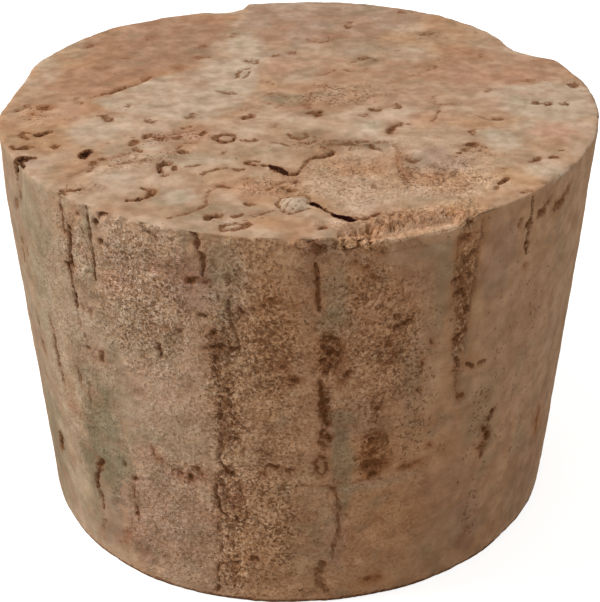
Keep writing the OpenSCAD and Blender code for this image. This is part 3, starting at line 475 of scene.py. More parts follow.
wallCracks = [
    (1, 0.56, 0.72, 0.1, [(-62.4, 38.5), (-62.5, 37.4), (-63, 36.2)]),
    (0.55, 0.28, 0.44, 0.4, [(-57.2, 23.6), (-56.4, 22.6), (-56.2, 21), (-56.1, 19.6), (-55.5, 18.2),
        (-55.2, 17)]),
    (0.4, 0.21, 0.44, 0.3, [(-49, 20.2), (-48.2, 19.8), (-48.3, 18.8)]),
    (0.28, 0.28, 0.48, 0.7, [(-46.9, 38.4), (-46.7, 37), (-46.4, 35.6), (-46.3, 34.2)]),
    (0.45, 0.35, 0.6, 0.5, [(-44.6, 35.2), (-44.6, 34.2), (-45.2, 33), (-45.6, 32), (-45.2, 31.2)]),
    (0.42, 0.35, 0.68, 0.4, [(-46.2, 31), (-46, 29.8), (-45.7, 28.4), (-45.6, 27.6)]),
    (0.3, 0.14, 0.24, 0.4, [(-45.8, 26.6), (-45.2, 25.2)]),
    (0.3, 0.35, 0.6, 0.1, [(-39.6, 38.3), (-39.2, 36.6), (-39.1, 34.6), (-39.1, 32.8), (-39.2, 31)]),
    (0.4, 0.14, 0.28, 0.2, [(-45.6, 19.4), (-45.8, 17.8), (-46.2, 16.2)]),
    (0.55, 0.28, 0.6, 0.3, [(-46.6, 9.4), (-47.5, 8.4), (-47.8, 7.4)]),
    (0.5, 0.21, 0.44, 0.3, [(-47.4, 7.2), (-46.6, 6.4), (-46, 5.4)]),
    (0.45, 0.07, 0.22, 0.3, [(-46.4, 4.6), (-46.8, 3.2), (-47.2, 2)]),
    (0.25, 0.14, 0.28, 0.3, [(-36.2, 10), (-36.4, 8.6), (-36.2, 7.8)]),
    (0.35, 0.21, 0.36, 0.3, [(-27.8, 38.2), (-26.8, 37.1), (-25, 36.8)]),
    (0.44, 0.42, 0.51, 0.4, [(-18.4, 38.4), (-17.4, 37.4), (-17.2, 36.4)]),
    (0.4, 0.35, 0.51, 0.4, [(-17.3, 36.4), (-16.4, 35.8), (-16.4, 35), (-16.8, 34)]),
    (0.24, 0.21, 0.34, 0.2, [(-12.2, 30.5), (-11.7, 29.2), (-11.2, 28.2), (-10.8, 27.4)]),
    (0.19, 0.21, 0.31, 0.5, [(-12.8, 20.6), (-11.6, 19.7), (-10, 18.9)]),
    (0.24, 0.21, 0.41, 0.5, [(-15.1, 18.2), (-15.4, 17.2), (-15.4, 16.4)]),
    (0.29, 0.28, 0.48, 0.3, [(-15.4, 16.4), (-15.8, 15.6), (-15.2, 14.9), (-14.4, 14.5)]),
    (0.26, 0.21, 0.34, 0.1, [(-15.3, 14.4), (-16.2, 13.9), (-16.9, 13.3)]),
    (0.37, 0.28, 0.48, 0.4, [(-17, 12.6), (-17, 11.4), (-16.6, 10.3), (-15.8, 9.7), (-14.9, 9.6)]),
    (0.22, 0.21, 0.34, 0.5, [(-17, 9), (-17.1, 7.8)]),
    (0.27, 0.21, 0.37, 0.5, [(-17, 6.5), (-16.3, 6.1), (-16.6, 5.2)]),
    (0.24, 0.21, 0.41, 0.5, [(-16, 4.2), (-17.2, 3.9), (-17.4, 2.9), (-17.6, 1.8)]),
    (0.18, 0.14, 0.24, 0.6, [(-13.8, 3.9), (-13.6, 2.6), (-14, 1.6)]),
    (0.24, 0.14, 0.24, 0.7, [(-12.4, 13.2), (-11.6, 12), (-12.2, 10.8)]),
    (0.34, 0.14, 0.4, 0.9, [(-30.6, 15.4), (-30.2, 14.4), (-29.2, 14), (-28.2, 14.2)]),
    (0.3, 0.14, 0.28, 0.9, [(-8.6, 17), (-7.2, 16.9), (-6, 16.5)]),
    (0.42, 0.21, 0.56, 0.3, [(2.8, 35.6), (3, 34.4), (3.1, 33), (3.2, 31.2)]),
    (0.38, 0.21, 0.29, 0.8, [(3.4, 28.2), (4.6, 28.7), (6.4, 28.4), (7.2, 27.4), (7, 26), (6.4, 25)]),
    (0.5, 0.21, 0.54, 0.5, [(3.5, 24.3), (3.8, 23.2), (4.1, 21.8), (4.4, 20.6), (5.4, 19.7)]),
    (0.46, 0.14, 0.54, 1, [(4.9, 16.1), (3.8, 16.3), (2.9, 15.6), (3, 14.8), (4, 14.4), (5, 14.9),
        (5.1, 15.7)]),
    (0.2, 0.07, 0.34, 0.3, [(0, 13.3), (3, 13.2), (6, 13.2)]),
    (0.2, 0.07, 0.34, 0.4, [(7, 13.5), (10, 13.3), (13, 13.6), (16, 13.4)]),
    (0.42, 0.14, 0.4, 0.1, [(6.8, 12.8), (7.3, 11), (7.4, 9), (7.3, 7.4), (6.6, 6), (6.2, 4.6)]),
    (0.95, 0.21, 0.4, 0.1, [(3.9, 4.6), (3.8, 3.4), (4.2, 2.4), (5.2, 1.2)]),
    (0.16, 0.07, 0.22, 0.4, [(14.4, 8.6), (15.6, 9), (16.8, 8.6)]),
    (0.26, 0.14, 0.24, 0.4, [(33.2, 37.4), (33, 35.6), (32.6, 33.6), (32.4, 31.6), (32, 29.6)]),
    (0.26, 0.14, 0.2, 0.4, [(28.2, 36.8), (28.4, 35), (28, 33.2), (28.4, 31.6)]),
    (0.3, 0.14, 0.32, 0.6, [(30.8, 22.6), (30.6, 21.4), (31, 20.4)]),
    (0.36, 0.28, 0.48, 0.3, [(44.7, 37.6), (45.2, 36), (44.9, 34.6)]),
    (0.46, 0.28, 0.52, 0.3, [(44.8, 34.6), (44.6, 33.4), (45.2, 32.2)]),
    (0.3, 0.14, 0.28, 0.9, [(61, 12.8), (61.2, 11.4), (61.4, 10)]),
]

# The back, hidden from the front, gets the same kinds of mark, fewer and plainer.
backPits = [
    (94, 29.6, 2, 1, 90, 0.5, 0.9, 0.5), (130, 13, 2.2, 1.2, 90, 0.5, 0.9, 0.6),
    (163, 19, 1.6, 1.1, 90, 0.5, 0.8, 0.5), (-166, 11.4, 2.4, 1.2, 90, 0.5, 0.9, 0.5),
    (-132, 28.8, 1.8, 1, 90, 0.5, 0.9, 0.5), (-107, 11.4, 2, 1, 90, 0.5, 0.9, 0.5),
]

backCracks = [
    (0.45, 0.42, 0.64, 0.4, [(82, 38.4), (83, 33.6), (82, 26.6), (83, 20)]),
    (0.35, 0.35, 0.56, 0.4, [(104, 22.8), (103, 16.8), (104, 10), (103, 4.6)]),
    (0.5, 0.42, 0.64, 0.5, [(150, 25), (151, 18.2), (150, 11.4), (151, 5.2)]),
    (0.4, 0.42, 0.64, 0.4, [(178, 38.4), (177, 34.2), (178, 28.8), (177, 24.4)]),
    (0.5, 0.42, 0.64, 0.5, [(-146, 22), (-145, 15.2), (-146, 8.4), (-147, 0.6)]),
    (0.35, 0.35, 0.56, 0.4, [(-118, 34.2), (-119, 29.6), (-118, 24.4)]),
    (0.45, 0.35, 0.56, 0.4, [(-92, 19.8), (-93, 13.6), (-92, 7.6)]),
]

bottomPits = [
    (-16.8, -7.2, 1.6, 1, 30, 0.8, 0.9, 0.4), (-12.5, -13.9, 2, 1, 50, 1, 1, 0.4),
    (-10.6, 4.3, 1.4, 1.1, 0, 0.6, 0.8, 0.4), (-5.8, -5.8, 1.8, 0.9, -30, 0.8, 0.9, 0.4),
    (-2.9, 14.4, 1.6, 1, 70, 0.7, 0.8, 0.4), (1.9, -15.8, 2.4, 1.2, 15, 1, 1, 0.4),
    (3.4, 3.4, 1.2, 1, 0, 0.6, 0.8, 0.4), (8.6, -7.2, 2, 0.8, 60, 0.8, 0.9, 0.4),
    (10.6, 12.5, 1.6, 1, -20, 0.6, 0.8, 0.4), (15.8, -1.9, 1.4, 1, 0, 0.8, 0.9, 0.4),
]

# Zones of the top between growth rings, with a fairly clear edge: kind, strength, outline.
topZones = [
    ("deep", 0.8, [(-19.4, 1), (-17.6, 2.6), (-15.6, 4.4), (-13.6, 6.9), (-11, 7.7), (-9.2, 9.2),
        (-8.6, 12), (-8, 16), (-6.8, 19.5), (-5.8, 25), (-12, 26), (-18, 22), (-21.4, 17), (-20.8, 11),
        (-20.6, 5)]),
    ("pale", 0.9, [(-18.6, 0.6), (-17, 1.8), (-14, 6), (-11, 7.2), (-8.8, 8.8), (-7.6, 12), (-7, 16),
        (-4.8, 18), (-3.4, 15), (-3.2, 11), (-3.6, 6), (-4, 2), (-5.6, -1), (-8, -4), (-12, -2.6),
        (-17, -2)]),
    ("ash", 0.55, [(-18.6, 0.6), (-14, 6), (-11, 7.2), (-8.8, 8.8), (-7.6, 12), (-7, 16), (-4.8, 18),
        (-3.4, 15), (-3.6, 6), (-4, 2), (-5.6, -1), (-8, -4), (-17, -2)]),
    ("mauve", 0.75, [(-5.8, 27.5), (-5.4, 20), (-3.6, 15), (0, 13.6), (4, 14.6), (7.6, 16), (11, 20),
        (16, 24), (4, 30)]),
    ("deep", 0.5, [(-3.4, 2.4), (0, 6.4), (3, 8.6), (8, 8.2), (13, 9.4), (15, 14), (22, 13), (26, 9),
        (23.5, 4), (17.6, 3.4), (16.4, -1), (12, -1.6), (6, -0.6), (2, -3.4), (-2.4, -0.6)]),
    ("ash", 0.7, [(17.6, 3), (23, 4.6), (27, 3), (27, -4), (22, -4.4), (18, -2.4)]),
    ("pale", 0.6, [(17.6, 3), (23, 4.6), (27, 3), (27, -4), (22, -4.4), (18, -2.4)]),
]

# Soft patches of each colour or roughness: x, y, length, width, strength, and turn if they lean.
topPatches = dict(
    deep=[
        (-15, -16.2, 5, 4, 0.25, 20), (-10.5, -21, 15, 6, 0.35, -20), (-15, 14.6, 4, 6, 0.5),
        (-9.4, 20.6, 3, 6, 0.6, 10), (-22, 5, 5, 8, 0.8, 20), (-15, 9, 10, 7, 0.7, 30),
        (-9.8, -6.6, 7, 3.4, 0.3, 12), (1, -8, 4, 3.6, 0.9), (0, -0.4, 6, 4.6, 0.8, -30),
        (3, -9.2, 11, 2.6, 0.9), (9, -13.6, 2.2, 8, 0.7), (13.6, 17.6, 3.6, 3.6, 0.6),
        (-9.5, -6.2, 4, 3, 0.5), (15, 6.5, 10, 6, 0.35), (5, -12.6, 8, 5, 0.35),
    ],
    pale=[
        (-24, -3, 4, 5, 0.45), (5.2, -6, 4, 3, 0.7), (4.6, 13, 4, 4, 0.4, 20), (10.6, 11.6, 5, 5, 0.5),
        (5.8, -5.6, 4, 5, 1, 20), (10, -2.6, 4, 3, 0.6, 10), (13.6, -7, 4, 4, 0.7),
        (17.4, -8.6, 4, 6, 1, 20), (-17.8, -5.6, 6, 6, 0.3, 10), (-15, -16.4, 7, 4.4, 0.5, 30),
        (-10, -19.2, 4, 5, 0.5), (-12, -9.4, 3, 3, 0.7), (-7, -12.4, 4, 2.4, 0.5),
        (-4, -6.2, 3.4, 2.6, 0.6), (21, -14.8, 4, 4, 0.8, 30), (-0.3, -21.1, 2.8, 3.8, 0.8, -35),
        (5, -6, 3.4, 2.6, 0.9), (12, -18.4, 8, 4, 0.6, 20), (4, -18, 8, 7, 0.7),
        (8, -24.6, 13, 3.6, 0.4, 8),
    ],
    ash=[
        (8.6, 12.4, 8, 5, 0.35, 20), (-23.4, 8, 3, 6, 0.4, 10), (-0.3, -21.1, 2.8, 3.8, 0.8, -35),
        (-5.2, -24.5, 2.4, 1.6, 0.7, 10), (17.4, -8.6, 3.6, 5.4, 0.9, 20), (6, -5.4, 3, 4.6, 0.8),
        (-18, -6, 5, 7, 0.8, 10), (-12.2, -9.4, 3, 2.6, 0.9), (-10, -19.4, 3.6, 4, 0.9),
        (-15, -16.2, 5, 3.6, 0.6, 30), (5.4, 13.4, 6, 4, 0.5, 40), (11, 11.4, 5, 4, 0.5),
        (20.8, -14.8, 3, 3.4, 0.7, 30), (-24, 9, 2.6, 8, 0.5, 10), (4, 3.4, 5, 4, 0.2),
        (0, 6.6, 5, 4, 0.5),
    ],
    olive=[
        (-10.5, -21, 13, 5, 0.2, -20), (-1.4, 1, 4.4, 3.4, 0.75, -20), (1.4, -2.4, 3.4, 2.4, 0.6, -20),
        (6.6, 10, 4, 3, 0.6), (0.6, -7.2, 4, 3.4, 0.6), (4.6, -9.2, 7, 1.8, 0.6),
        (-10, -12.2, 6, 3, 0.52, 10), (-20.6, -14.6, 2.4, 3.4, 0.45), (-15, -10, 6, 2.4, 0.3, 30),
        (-9.4, -2.6, 3, 2.4, 0.3, 40), (-8.2, -22.4, 5, 2.4, 0.45, 40), (9.8, -13.4, 2.4, 4, 0.38),
        (13, 17, 3, 3, 0.45), (4.4, 23.6, 7, 3, 0.3), (-12, 14, 14, 18, 0.12, -30), (6, 14, 7, 6, 0.35),
        (21, -1, 6, 5, 0.2), (-2, -11, 14, 6, 0.2),
    ],
    pink=[
        (22.2, -7, 5, 5, 1, 20), (17.6, -1.4, 3.4, 5, 0.5), (12, -4, 6, 4, 0.5, 10),
        (-3.6, -18.6, 6, 5, 0.4), (-2, 9, 4, 5, 0.5), (-20.6, -2.4, 5, 6, 0.7), (-11, -8, 8, 4, 0.6, 10),
        (18, 6, 10, 6, 0.5),
    ],
    mauve=[
        (11.6, -12.8, 3.6, 5.6, 1), (-13, 16, 14, 18, 0.35, -30), (6, 14, 7, 6, 0.35),
        (1.4, 18.6, 4, 8, 0.7), (-1.8, 12, 4, 2.6, 0.6), (8.6, 14.6, 3, 4, 0.4), (13.8, -12.8, 3, 3, 0.5),
        (-22.2, -12.8, 3, 2, 0.8),
    ],
    warm=[
        (-8, 22.4, 6, 3, 0.7, 10), (11, -5, 3, 5, 0.4), (-3, -17, 9, 8, 0.15), (12.4, -16.8, 6, 5, 0.5),
        (8, -24.2, 13, 3.4, 0.25, 8), (-24, -1.6, 3.6, 5, 0.5), (-19, -15.4, 4, 6, 0.6, 10),
        (-2, -24.4, 7, 3.4, 0.7), (5, -13, 8, 6, 0.45), (-19, 19, 4, 4, 0.3),
    ],
    crumb=[
        (13, -22.4, 5, 4, 0.8, 20), (4, -16, 9, 12, 0.75, 10), (12.5, -16.6, 9, 7, 0.85, 20),
        (8, -23.3, 13, 4, 0.9, 10), (-2.4, -17.4, 6, 5, 0.85), (-13, -12.6, 10, 2.6, 0.6, 30),
        (-11, -7.6, 8, 3, 0.35, 10), (-18, -17.6, 4, 2.4, 0.6), (14.5, -12, 6, 4, 0.5, 20),
        (4, 2, 10, 6, 0.35, 12), (10, -8, 7, 5, 0.25),
    ],
    fleck=[
        (9, -14, 2, 8, 0.8), (3, -9.4, 11, 2.2, 0.7), (-11, -7.6, 8, 3.2, 0.6, 10),
        (-15.4, -12.2, 8, 3, 0.6, 40), (-23.6, -2.6, 3, 5, 0.7), (3.6, 1.6, 9, 6, 0.6, 12),
        (14.6, -10.6, 3, 2.6, 0.7, 40), (12, -16, 8, 6, 0.3), (-5, -23.4, 6, 3, 0.5),
    ],
    # chalk patches lighten the cork: chalky spots, and painted highlights on the crumbled grains
    chalkAndHighlight=[
        (5.2, -6, 3.6, 3, 0.35), (-24, -3, 3, 4, 0.25), (11, -17, 4.4, 3.4, 0.45),
        (16.5, -16.5, 9, 7, 0.35, 30), (13, -22.4, 5, 4, 0.35, 20),
    ],
)

# On the wall the deep, olive and mauve patches at bearings -68 to -71 darken the far left edge: painted
# shade.
wallPatches = dict(
    deep=[
        (-46, 22, 4, 14, 0.55), (-43, 4.5, 10, 6, 0.9), (-61, 4.5, 7, 7, 0.8), (-19, 33, 5, 6, 0.8),
        (30, 8, 7, 14, 0.6), (14, 15.6, 4.4, 5.4, 0.8), (11, 26, 5, 8, 0.5), (20, 33, 7, 5, 0.2),
        (-2, 30, 6, 10, 0.4), (4, 23, 2, 6, 0.5), (30.2, 28, 3, 12, 0.6), (60, 8, 8, 14, 0.8),
        (-70, 24, 6, 50, 0.4), (-45, 20, 3, 8, 0.8), (-31, 7, 12, 12, 0.5), (13, 24, 16, 50, 0.35),
        (62, 10, 6, 14, 0.5),
    ],
    pale=[
        (-68, 26, 9, 9, 0.6), (-52, 5, 7, 8, 0.8), (-9.5, 13, 7, 12, 0.35), (-2, 24, 15, 34, 0.22),
        (21, 35.8, 11, 2.4, 0.5), (19, 35.4, 7, 3, 0.35), (-56, 22, 9, 60, 0.3), (-36, 26, 14, 36, 0.8),
        (-22, 20, 12, 60, 0.6), (62, 18, 12, 60, 0.3), (-27, 28, 9, 7, 0.4),
    ],
    ash=[
        (-60, 19, 20, 70, 0.6), (-62, 20, 9, 70, 0.3), (-36, 20, 14, 70, 0.3), (-33, 16, 4, 6, 0.5, 20),
        (-11.5, 33, 4, 8, 0.4), (15, 13, 9, 1.6, 0.5, 4), (23, 24, 5, 12, 0.3), (-64, 20, 12, 50, 0.3),
    ],
    olive=[
        (-45, 5, 5, 6, 0.3), (-58, 20, 24, 40, 0.22), (24.5, 31, 3, 12, 0.25), (-68, 24, 8, 60, 0.35),
        (-56, 34, 9, 8, 0.45), (-46, 19, 4, 8, 0.35), (30, 5, 7, 8, 0.3), (-44, 14.5, 3.4, 9, 0.68, -18),
        (-47, 11, 4.6, 5, 0.68), (-49.5, 8, 2.4, 8, 0.52), (-42, 11.5, 4, 3.6, 0.6),
        (-39.8, 34, 1.8, 9, 0.52), (-62.5, 37, 2, 3, 0.52), (-64, 28.5, 4, 4, 0.45),
        (-60, 24, 5, 14, 0.3), (-61, 13, 5, 3, 0.3, 30), (-38, 20, 3, 22, 0.3), (-13, 35, 3, 8, 0.45),
        (-12.2, 28.5, 2.2, 8, 0.35), (-20, 16, 12, 8, 0.22), (6.2, 33, 2.4, 6, 0.55),
        (5.6, 30, 2.8, 4, 0.52), (8, 15.5, 2.2, 10, 0.75, 3), (7.6, 20.2, 3, 2, 0.6),
        (12, 12.8, 9, 1.4, 0.35, 2), (1, 9, 5, 16, 0.15), (30.5, 31, 3.4, 9, 0.3),
        (26, 33, 1.8, 10, 0.45), (32, 21, 3, 4, 0.45), (21, 22, 2, 10, 0.3), (38, 18, 5, 9, 0.4),
        (-68, 8, 7, 16, 0.8), (-44, 15, 4.6, 11, 1, -14), (-45, 11, 6, 6, 1), (-40, 12, 4, 4, 0.9),
        (-58, 30, 6, 14, 0.38), (-52, 6, 6, 12, 0.38),
    ],
    pink=[
        (-22, 34, 6, 2.6, 0.9), (-35, 31.6, 4, 2.6, 0.8), (-52, 15.2, 4, 1.8, 0.9), (-62, 15, 4, 3, 0.6),
        (-23, 13.2, 6, 2.6, 1), (-31, 14.5, 3.6, 2.6, 0.8), (-13, 13, 5, 5, 0.6), (-41, 23, 3, 4, 0.6),
        (50, 22, 8, 20, 0.3), (-30, 22, 9, 4, 0.4), (13, 31, 7, 5, 0.5),
    ],
    mauve=[
        (-43.5, 11, 8, 10, 0.45), (-60, 4, 7, 7, 0.4), (6, 19, 3, 4, 0.6), (-18, 33, 5, 6, 0.4),
        (-46, 4.5, 5, 6, 0.9), (-19, 33, 5, 6, 0.7), (-32, 33.5, 5, 5, 0.5), (12, 20, 4, 5, 0.5),
        (-67, 33, 3, 3, 0.5), (-45, 11, 1.6, 2.4, 0.7), (-34.5, 3, 3, 3, 0.8), (-40, 8, 3, 3, 0.4),
        (3.2, 36.8, 2.2, 2.8, 0.8), (8, 36.4, 3, 2.2, 0.5), (7.2, 7.4, 1.8, 9, 0.8), (24, 33, 6, 4, 0.3),
        (36.5, 7, 3.4, 4, 0.6), (38.5, 3.6, 3.4, 4, 0.6), (62, 22, 4, 12, 0.3), (44, 24, 8, 12, 0.4),
        (30, 11, 8, 5, 0.3), (38, 33, 5, 8, 0.8), (38, 5, 5, 8, 0.5), (-71, 20, 5, 60, 0.7),
        (-30, 8, 12, 12, 0.6),
    ],
    warm=[
        (9, 20, 24, 70, 0.5), (30, 8, 20, 30, 0.2), (12, 35, 6, 8, 0.5), (14, 15.5, 5, 7, 0.9),
        (5, 27, 3, 5, 0.7), (-4.5, 30, 5, 12, 0.6), (19, 8, 10, 9, 0.4), (40, 2, 6, 3, 0.6),
        (50, 2.4, 6, 3, 0.5), (15, 1.8, 5, 1.6, 0.9), (30.4, 33, 4.5, 11, 0.9), (61.5, 11, 3, 4, 0.8),
    ],
    crumb=[
        (-13.6, 23, 3.6, 16, 1), (-13.6, 8, 3.8, 16, 1), (-4, 20, 32, 60, 0.4), (-29, 31, 11, 16, 0.85),
        (-44, 34, 6, 9, 0.25), (-50, 22, 12, 30, 0.28), (-28, 8, 12, 16, 0.35), (-8, 20, 9, 50, 0.55),
        (12, 29, 10, 18, 0.3), (-14.2, 26, 2.6, 7, 0.9), (-13.8, 19, 2.2, 8, 0.9),
        (-14.2, 12, 3, 7, 0.95), (-15, 4, 2.8, 8, 0.8), (-7, 28, 8, 14, 0.6), (-8, 10, 8, 12, 0.6),
        (-22.5, 13.4, 5, 3, 0.5), (5.4, 26.8, 2.4, 4.6, 1), (4.4, 22.4, 1.2, 4.4, 0.8),
        (13.8, 16, 3.2, 5.6, 0.7), (14.2, 20.6, 1.6, 4, 0.7), (14, 27, 9, 16, 0.45),
        (30.6, 34, 2.6, 9, 0.75), (30.6, 26.5, 1.6, 9, 0.8), (12, 37.2, 13, 1.8, 0.9),
        (-42.5, 34, 4, 8, 0.15), (40, 14.6, 1.6, 4.6, 0.7),
    ],
    fleck=[
        (37.6, 17, 2.6, 10, 0.6), (38.4, 6, 2.6, 8, 0.6), (-14.2, 27, 2.8, 5, 1), (-14, 20, 1.8, 8, 0.9),
        (-13.8, 11, 2.2, 10, 0.5), (13.8, 16, 3, 6.5, 0.7), (5, 26.8, 2, 4.6, 0.6),
        (4.4, 21, 1.2, 7, 0.8), (30, 29, 1.8, 16, 0.7), (-5, 27, 4, 11, 0.5), (-5, 8, 5, 12, 0.35),
        (12, 33, 4.6, 5, 0.5), (18, 27, 6, 7, 0.5), (22, 20, 5, 12, 0.4), (40, 14, 1.4, 6, 0.9),
        (-45.6, 32, 1.6, 10, 0.4), (-42, 34, 3, 7, 0.3), (46, 22, 10, 30, 0.3),
    ],
    # chalk patches lighten the cork: chalky spots, and painted highlights on the grains of the channel
    chalkAndHighlight=[
        (-68, 26, 7, 8, 0.3), (-52, 5, 7, 7, 0.45), (-13.2, 20, 2.6, 16, 0.45), (-13, 8, 2.8, 14, 0.45),
        (-6, 12, 6, 7, 0.25),
    ],
)

# Chips broken from the rim: bearing, radius of the hollow, depth, drop.
rimChips = [
    (140, 60, 0.5, 13), (128, 26, 1.35, 10), (123, 10, 2.1, 8), (122, 4, 2.4, 5), (113, 200, 0.35, 10),
    (106, 70, 0.3, 16), (-148, 60, 0.7, 13), (-158, 14, 1.25, 8), (-163, 3, 1.95, 5), (-98, 120, 0.8, 20),
]

# Outlines on the top: the torn layer at the front, the crumbled step along its rim, and the
# loose grains round the step.
tornLayer = [
    (-8, -15.2), (-5, -14.4), (-3.3, -13.8), (-0.8, -15.3), (0.2, -14.5), (1, -12.3), (3.1, -10.4),
    (8, -9.2), (8.4, -12), (8.7, -15.5), (12.5, -15), (16, -14.5), (17, -17), (14.5, -22.5), (9, -25),
    (5.5, -23), (3.8, -23.8), (1.2, -20.9), (-2, -19.5), (-6, -18), (-8.5, -17),
]
brokenRim = [
    (2.4, -28), (2.9, -25.9), (4.2, -25.4), (5.4, -24.6), (6.8, -24.1), (8.6, -24.5), (11, -24.1),
    (13.6, -22.9), (15.2, -23.4), (16, -26), (8, -30),
]
looseGrains = [
    (4.6, -24.6), (5.8, -23.4), (6.6, -22.2), (8.4, -21.2), (11, -20.8), (13, -21.2), (14.6, -22.4),
    (15.6, -23.4), (12, -26), (8, -27),
]


def toSegments(px, py, path):
    # distance to a path, and how far along it the nearest point lies, 0 to 1
    ends = np.array(path, float)
    steps = np.hypot(*(ends[1:] - ends[:-1]).T)
    total, done = max(steps.sum(), 1e-6), 0.0
    best = np.full(len(px), 1e6)
    along = np.zeros(len(px))
    for (ax, ay), (bx, by), size in zip(ends[:-1], ends[1:], steps):
        t = np.clip(((px - ax) * (bx - ax) + (py - ay) * (by - ay)) / max(size * size, 1e-9), 0, 1)
        away = np.hypot(px - ax - t * (bx - ax), py - ay - t * (by - ay))
        near = away < best
        best[near] = away[near]
        along[near] = (done + t[near] * size) / total
        done += size
    return best, along


def insideOutline(px, py, outline):
    # signed distance to an outline, positive inside
    away, _ = toSegments(px, py, outline + outline[:1])
    inside = np.zeros(len(px), bool)
    for (ax, ay), (bx, by) in zip(outline, outline[1:] + outline[:1]):
        crosses = (ay > py) != (by > py)
        at = ax + (py - ay) * (bx - ax) / (by - ay if by != ay else 1e-9)
        inside ^= crosses & (px < at)
    return np.where(inside, away, -away)


def shake(points, scale, seed=0, octaves=1):
    # even noise, about -1 to 1, with features of the given size in mm
    push = Vector((17.3 * seed, -9.1 * seed, 5.7 * seed))
    out = np.empty(len(points))
    for i, p in enumerate(points):
        q = Vector(p) / scale + push
        out[i] = noise.noise(q) if octaves == 1 else noise.fractal(q, 0.8, 2.0, octaves)
    return out


colourKinds = ["dark", "rust", "deep", "pale", "ash", "olive", "pink", "mauve", "warm", "crumb", "fleck",
               "chalkAndHighlight"]


class Surface:
    # the cork's skin as arrays, one value per point, that the marks are cut and painted into
    def __init__(self, places, normals):
        self.places = places
        self.normals = normals
        x, y, z = places.T
        self.bearing = np.degrees(np.arctan2(x, -y))
        self.radius = np.hypot(x, y)
        self.up = smooth(0.25, 0.85, normals[:, 2])
        self.down = smooth(0.25, 0.85, -normals[:, 2])
        self.wall = 1 - np.clip(np.abs(normals[:, 2]), 0, 1) ** 2
        self.depth = np.zeros(len(places))
        self.near = np.full(len(places), 1e6)
        self.core = np.full(len(places), 1e6)
        self.paint = {kind: np.zeros(len(places)) for kind in colourKinds}
        self.slide = 0.35 * shake(places, 1.5, 1) + 0.18 * shake(places, 0.6, 2)
        self.climb = 0.35 * shake(places, 1.5, 3) + 0.18 * shake(places, 0.6, 4)
        self.swell = shake(places, 1.3, 5)
        self.ragged = shake(places, 0.62, 11) + 0.45 * shake(places, 0.36, 12)

    def flat(self, face, start):
        # the face's own coordinates in mm; on the wall they are unrolled from a bearing
        if face == "wall":
            turn = (self.bearing - start + 180) % 360 - 180
            return np.radians(turn) * self.radius, self.places[:, 2], self.wall
        return self.places[:, 0], self.places[:, 1], self.up if face == "top" else self.down

    def unroll(self, face, points):
        # a mark's points in the same flat coordinates, and the bearing they start from
        start = points[0][0] if face == "wall" else 0
        if face != "wall":
            return start, [tuple(p) for p in points]
        return start, [(math.radians(b - start) * wallRadius(min(z, topZ)), z) for b, z in points]

    def cut(self, face, path, width, depth, dark, rust, rough, tapered=True):
        # one pit or crack: a path in the face's coordinates, with a broken, crumbly edge
        start, line = self.unroll(face, path)
        depth = min(depth, stopper["deepest"] * width)
        px, py, share = self.flat(face, start)
        low, high = np.min(line, 0), np.max(line, 0)
        margin = width + 2.2
        pick = np.where((px > low[0] - margin) & (px < high[0] + margin) & (py > low[1] - margin)
                        & (py < high[1] + margin) & (share > 0.05))[0]
        if not len(pick):
            return
        share = share[pick]
        wobble = 0.55 * min(1.0, 0.5 + width)
        qx = px[pick] + wobble * self.slide[pick]
        qy = py[pick] + wobble * self.climb[pick]
        away, along = toSegments(qx, qy, line)
        half = width / 2 * (1 + 0.6 * self.swell[pick] * rough)
        if tapered:
            half = half * (0.45 + 0.55 * np.sqrt(np.sin(np.pi * np.clip(along, 0.03, 0.97))))
        self.near[pick] = np.minimum(self.near[pick], np.where(share > 0.3, away - half, 1e6))
        if dark > stopper["blackFrom"]:
            self.core[pick] = np.minimum(self.core[pick], np.where(share > 0.3, away - half, 1e6))
        # the walls of the deepest holes are painted black too, painted shadow in the crevice, so it reaches
        # further out
        black = min(max((dark - 0.8) / 0.2, 0.0), 1.0)
        soft = np.clip(1 - (away - 0.03 * (face == "top")) / np.maximum(half, 0.13), -2, 1)
        soft += 0.9 * rough * (1 - 0.5 * black) * self.ragged[pick]
        self.depth[pick] = np.maximum(self.depth[pick], depth * share * smooth(-0.05, 0.70, soft))
        reach = soft + 0.05 * black / np.maximum(half, 0.13)
        shade = dark * share * smooth(-0.58 - 0.20 * black, 0.62 - 0.72 * black, reach)
        self.paint["dark"][pick] = np.maximum(self.paint["dark"][pick], shade)
        halo = share * (1 - smooth(0.8 * half, half + 0.55, away - 0.25 * self.ragged[pick]))
        self.paint["rust"][pick] = np.maximum(self.paint["rust"][pick], rust * halo)

    def pit(self, face, rough, x, y, length, width, turn, depth, dark, rust):
        # an oval is drawn as a short fat path
        if length < width:
            length, width, turn = width, length, turn + 90
        reach = (length - width) / 2
        across, upright = reach * math.cos(math.radians(turn)), reach * math.sin(math.radians(turn))
        if face == "wall":
            across = math.degrees(across / wallRadius(y))
        path = [(x - across, y - upright), (x + across, y + upright)]
        self.cut(face, path, width, depth, dark, rust, rough, False)

    def patch(self, face, kind, x, y, length, width, strength, turn=0):
        # a soft oval of one colour or roughness
        px, py, share = self.flat(face, x)
        dx, dy = px - (0 if face == "wall" else x), py - y
        c, s = math.cos(math.radians(turn)), math.sin(math.radians(turn))
        u, v = (dx * c + dy * s) / (length / 2), (dy * c - dx * s) / (width / 2)
        soft = np.hypot(u, v) + 0.55 * self.slide + 0.45 * self.climb + 0.18 * self.ragged
        part = strength * share * (1 - smooth(0.50, 1.20, soft))
        self.paint[kind] = 1 - (1 - self.paint[kind]) * (1 - part)

    def zone(self, kind, strength, outline):
        # one colour inside an outline on the top, with a slightly wandering edge
        px, py = self.places[:, 0] + 1.1 * self.slide, self.places[:, 1] + 1.1 * self.climb
        inside = insideOutline(px, py, outline)
        part = strength * self.up * smooth(-0.3, 0.5, inside + 0.3 * self.ragged)
        self.paint[kind] = 1 - (1 - self.paint[kind]) * (1 - part)


